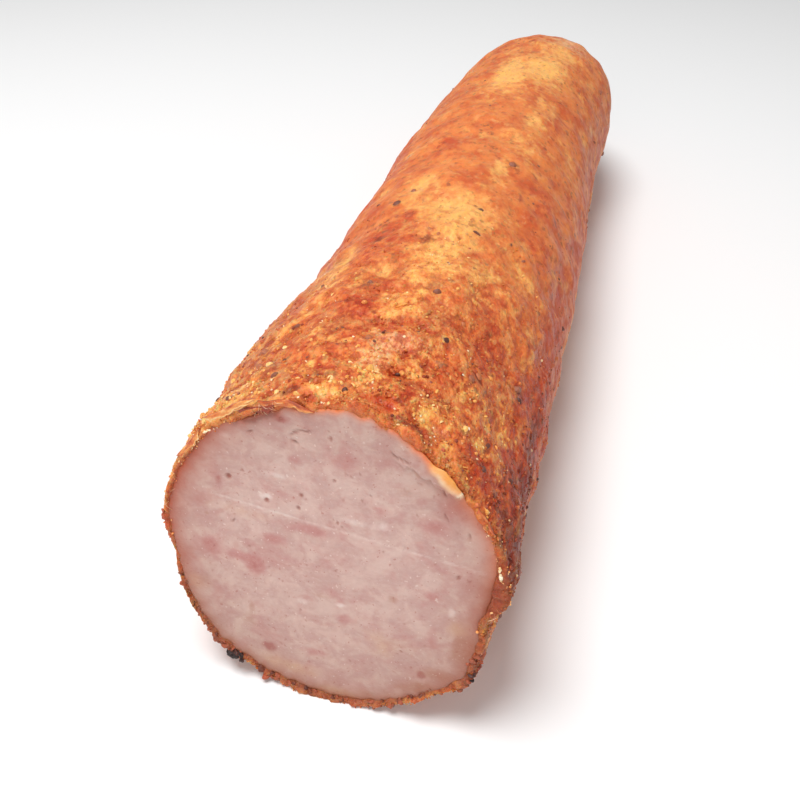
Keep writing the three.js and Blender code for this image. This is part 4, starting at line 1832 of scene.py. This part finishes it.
class SausageColours(bpy.types.PropertyGroup):
    orange: colour_property("Orange", "Most of the grilled skin", paint(232, 134, 70))
    red_brown: colour_property("Red brown", "Darker half of the grilled skin", paint(206, 96, 50))
    # Also paints a highlight near the closed end.
    golden: colour_property("Golden", "Golden patches", paint(254, 186, 104))
    # Also paints the shade along both flanks.
    red: colour_property("Red", "Redder patches", paint(196, 70, 38))
    # Also paints a highlight near the closed end.
    pale: colour_property("Pale", "Pale peach patches", paint(246, 192, 142))
    tan: colour_property("Tan", "Tan patches", paint(210, 146, 90))
    grey: colour_property("Grey", "Greyish mauve patches", paint(158, 98, 76))
    scorched: colour_property("Scorched", "Scorched patches", paint(126, 58, 38))
    rim_golden: colour_property("Golden rim", "Edge of the skin where it is golden", paint(250, 172, 100))
    meat: colour_property("Meat", "Cut meat", paint(197, 158, 149))
    meat_light: colour_property("Light meat", "Lighter cut meat", paint(212, 180, 169))
    meat_rose: colour_property("Rose meat", "Rosier pieces", paint(186, 118, 112))
    meat_red: colour_property("Red meat", "Reddish brown pieces", paint(170, 92, 84))
    # Also paints shade at the lower right and under the thin layer.
    meat_brown_and_shade: colour_property("Brown meat", "Brownish pieces", paint(186, 136, 116))
    meat_beige: colour_property("Beige meat", "Beige pieces", paint(214, 172, 140))
    # Also used for the tiny painted glints on the cut.
    meat_white_and_glints: colour_property("White meat", "Whitish pieces and scratches", paint(232, 212, 204))
    # Painted shade inside the pores and slits.
    pore_shade: colour_property("Pores", "Inside of the pores", paint(150, 78, 62))
    # Painted shade: multiplies the cut meat's colour towards its edge and its bottom.
    meat_edge: colour_property(
        "Meat near the edge", "Multiplies the meat's colour there", (0.8, 0.74, 0.7, 1)
    )
    stain_left: colour_property("Left stain", "Left edge of the cut meat", paint(174, 80, 50))
    stain_right: colour_property("Right stain", "Right edge of the cut meat", paint(164, 82, 52))
    # Painted shade in the gap under the torn skin.
    stain_gap: colour_property("Gap", "Dark red gap under the torn skin", paint(140, 42, 28))
    stain_brown: colour_property("Brown stain", "Lower right edge of the cut meat", paint(158, 86, 58))
    stain_orange: colour_property("Orange stain", "Upper right edge of the cut meat", paint(222, 112, 52))
    stain_low: colour_property("Lower stain", "Lower edge of the cut meat", paint(156, 88, 58))
    stain_top: colour_property("Upper stain", "Upper edge of the cut meat", paint(224, 124, 74))
    fat_strip: colour_property("Fat strip", "Translucent orange strip under the skin", paint(246, 168, 78))
    cream: colour_property("Cream", "Pale tip of the strip", paint(246, 222, 188))


def props(context):
    scene = context.scene
    return Form(scene.sausage_sizes), scene.sausage_sizes, scene.sausage_colours


class SAUSAGE_OT_crust(bpy.types.Operator):
    """Makes the grilled skin with its crust"""

    bl_idname = "sausage.crust"
    bl_label = "Grilled Crust"

    def execute(self, context):
        form, sizes, colours = props(context)
        material = crust_material(colours)
        thing = make_object("grilled_crust", *crust_mesh(form))
        values = {
            "Lump Size": sizes.lump_size,
            "Lump Height": sizes.lump_height,
            "Grain Size": sizes.grain_size,
            "Grain Height": sizes.grain_height,
            "Pit Depth": sizes.pit_depth,
            "Material": material,
        }
        run_tree(thing, crust_relief_tree(), values)
        finish_piece(thing, material)
        granules = granule_points(form, 37, sizes.granules)
        make_bits("crust_granules", granules, material, seed=4, uneven=0.5, shape=(0.5, 1.5))
        return {"FINISHED"}


class SAUSAGE_OT_meat(bpy.types.Operator):
    """Makes the meat inside the skin, with its cut face"""

    bl_idname = "sausage.meat"
    bl_label = "Cut Meat"

    def execute(self, context):
        form, _, colours = props(context)
        thing = make_object("cut_meat", *meat_mesh(form))
        finish_piece(thing, meat_material(colours))
        return {"FINISHED"}


class SAUSAGE_OT_pepper(bpy.types.Operator):
    """Sets grains of pepper into the crust"""

    bl_idname = "sausage.pepper"
    bl_label = "Pepper Grains"

    def execute(self, context):
        form, _, _ = props(context)
        tones = ((0.0, 84, 44, 36), (0.5, 122, 70, 54), (0.8, 156, 94, 70), (1.0, 196, 112, 66))
        material = bits_material("pepper_grain", 0.5, *tones)
        make_bits("pepper_grains", pepper_points(form), material, faces=2, seed=3)
        return {"FINISHED"}


class SAUSAGE_OT_crumbs(bpy.types.Operator):
    """Scatters spice crumbs and whitish flecks over the crust"""

    bl_idname = "sausage.crumbs"
    bl_label = "Spice Crumbs"

    def execute(self, context):
        form, sizes, _ = props(context)
        tones = (
            (0.0, 112, 46, 32),
            (0.3, 182, 78, 44),
            (0.6, 222, 124, 62),
            (0.85, 246, 182, 92),
            (1.0, 252, 216, 150),
        )
        spice = bits_material("spice_crumb", 0.42, *tones)
        crumbs = crumb_points(form, 41, sizes.crumbs, (0.12, 0.36), 26)
        make_bits("spice_crumbs", crumbs, spice, seed=5, uneven=0.5, shape=(0.5, 1.5))
        places, size, tint = crumb_points(form, 47, 1000, (0.2, 0.42), 17)
        flakes = (places, size, np.clip(tint + 0.18, 0, 1))
        make_bits("spice_flakes", flakes, spice, faces=2, seed=11, uneven=0.5, shape=(0.16, 1.7))
        tones = ((0.0, 236, 196, 140), (0.6, 250, 226, 186), (1.0, 255, 244, 224))
        white = bits_material("pale_fleck", 0.3, *tones)
        flecks = crumb_points(form, 43, 320, (0.1, 0.26), 16)
        make_bits("pale_flecks", flecks, white, seed=6, uneven=0.5, shape=(0.4, 1.6))
        return {"FINISHED"}


class SAUSAGE_OT_rim(bpy.types.Operator):
    """Makes the torn and burnt bits along the edge of the cut"""

    bl_idname = "sausage.rim"
    bl_label = "Rim Bits"

    def execute(self, context):
        form, _, _ = props(context)
        tones = ((0.0, 34, 26, 26), (0.2, 96, 48, 36), (0.55, 150, 80, 54), (1.0, 186, 86, 54))
        crag = bits_material("rim_crag", 0.5, *tones)
        lower = rim_points(form, 51, 190, [(196, 335), (218, 300)], (0.1, 0.34), 0.25)
        lower = (lower[0], lower[1], lerp(0.22, 0.8, lower[2]))
        lower = [np.concatenate(pair) for pair in zip(lower, single_points(form, SEEN_CRAGS))]
        make_bits("rim_crags", lower, crag, faces=3, seed=8, uneven=1.1, shape=(0.4, 1.9))
        tones = ((0.0, 212, 112, 54), (0.5, 242, 160, 88), (0.85, 250, 212, 150), (1.0, 252, 236, 206))
        gold = bits_material("golden_rim_bit", 0.32, *tones)
        upper = rim_points(form, 53, 90, [(118, 182), (124, 165), (2, 30)], (0.05, 0.13), 0.7)
        upper = [np.concatenate(pair) for pair in zip(upper, single_points(form, SEEN_CREAM))]
        make_bits("golden_rim_bits", upper, gold, faces=2, seed=9, uneven=0.9, shape=(0.35, 1.8))
        return {"FINISHED"}


class SAUSAGE_OT_torn_skin(bpy.types.Operator):
    """Makes the thin torn layers and threads where the skin has come away"""

    bl_idname = "sausage.torn_skin"
    bl_label = "Torn Skin"

    def execute(self, context):
        form, _, _ = props(context)
        tones = ((0.0, 150, 60, 38), (0.4, 208, 104, 58), (0.75, 238, 158, 86), (1.0, 250, 206, 140))
        skin = bits_material("torn_skin", 0.34, *tones)
        layers = make_object("torn_layers", *torn_layers(form))
        finish_piece(layers, skin)
        tones = ((0.0, 214, 136, 88), (0.5, 230, 168, 126), (1.0, 242, 204, 170))
        pale = bits_material("torn_thread", 0.3, *tones)
        threads = make_object("torn_threads", *torn_threads(form))
        finish_piece(threads, pale)
        return {"FINISHED"}


class SAUSAGE_OT_stage(bpy.types.Operator):
    """Makes the pale floor, the soft light and the camera"""

    bl_idname = "sausage.stage"
    bl_label = "Stage"

    def execute(self, context):
        scene = context.scene
        half = FLOOR_HALF
        corners = [(-half, -half, 0), (half, -half, 0), (half, half, 0), (-half, half, 0)]
        floor = make_object("floor", corners, [(0, 1, 2, 3)], smooth=False)
        floor.data.materials.append(stage_material())

        world = bpy.data.worlds.new("soft_white")
        world.use_nodes = True
        background = world.node_tree.nodes["Background"]
        background.inputs["Color"].default_value = (1, 1, 1, 1)
        background.inputs["Strength"].default_value = WORLD_STRENGTH
        scene.world = world
        for name, (place, size, power) in LIGHTS.items():
            add_area_light(name, place, LIT_POINT, size, power)

        camera = bpy.data.cameras.new("camera")
        camera.sensor_width = SENSOR_WIDTH
        camera.sensor_fit = "HORIZONTAL"
        camera.lens = FOCAL_LENGTH
        camera.clip_start = 0.01
        viewer = bpy.data.objects.new("camera", camera)
        scene.collection.objects.link(viewer)
        viewer.location = CAMERA_PLACE
        viewer.rotation_euler = (math.pi / 2 - CAMERA_PITCH, 0, -CAMERA_HEADING)
        scene.camera = viewer
        scene.view_settings.view_transform = "Standard"
        return {"FINISHED"}


class SAUSAGE_PT_panel(bpy.types.Panel):
    bl_idname = "SAUSAGE_PT_panel"
    bl_label = "Grill Sausage"
    bl_space_type = "VIEW_3D"
    bl_region_type = "UI"
    bl_category = "Sausage"

    def draw(self, context):
        for group in (context.scene.sausage_sizes, context.scene.sausage_colours):
            box = self.layout.box()
            for name in group.__annotations__:
                box.prop(group, name)
        for operator in OPERATORS:
            self.layout.operator(operator.bl_idname)


OPERATORS = (
    SAUSAGE_OT_crust,
    SAUSAGE_OT_meat,
    SAUSAGE_OT_pepper,
    SAUSAGE_OT_crumbs,
    SAUSAGE_OT_rim,
    SAUSAGE_OT_torn_skin,
    SAUSAGE_OT_stage,
)
CLASSES = (SausageSizes, SausageColours, *OPERATORS, SAUSAGE_PT_panel)


def register():
    for each in CLASSES:
        bpy.utils.register_class(each)
    bpy.types.Scene.sausage_sizes = bpy.props.PointerProperty(type=SausageSizes)
    bpy.types.Scene.sausage_colours = bpy.props.PointerProperty(type=SausageColours)


def unregister():
    del bpy.types.Scene.sausage_colours
    del bpy.types.Scene.sausage_sizes
    for each in reversed(CLASSES):
        bpy.utils.unregister_class(each)


def main():
    register()
    bpy.ops.sausage.crust()
    bpy.ops.sausage.meat()
    bpy.ops.sausage.pepper()
    bpy.ops.sausage.crumbs()
    bpy.ops.sausage.rim()
    bpy.ops.sausage.torn_skin()
    bpy.ops.sausage.stage()


if __name__ == "__main__":
    main()
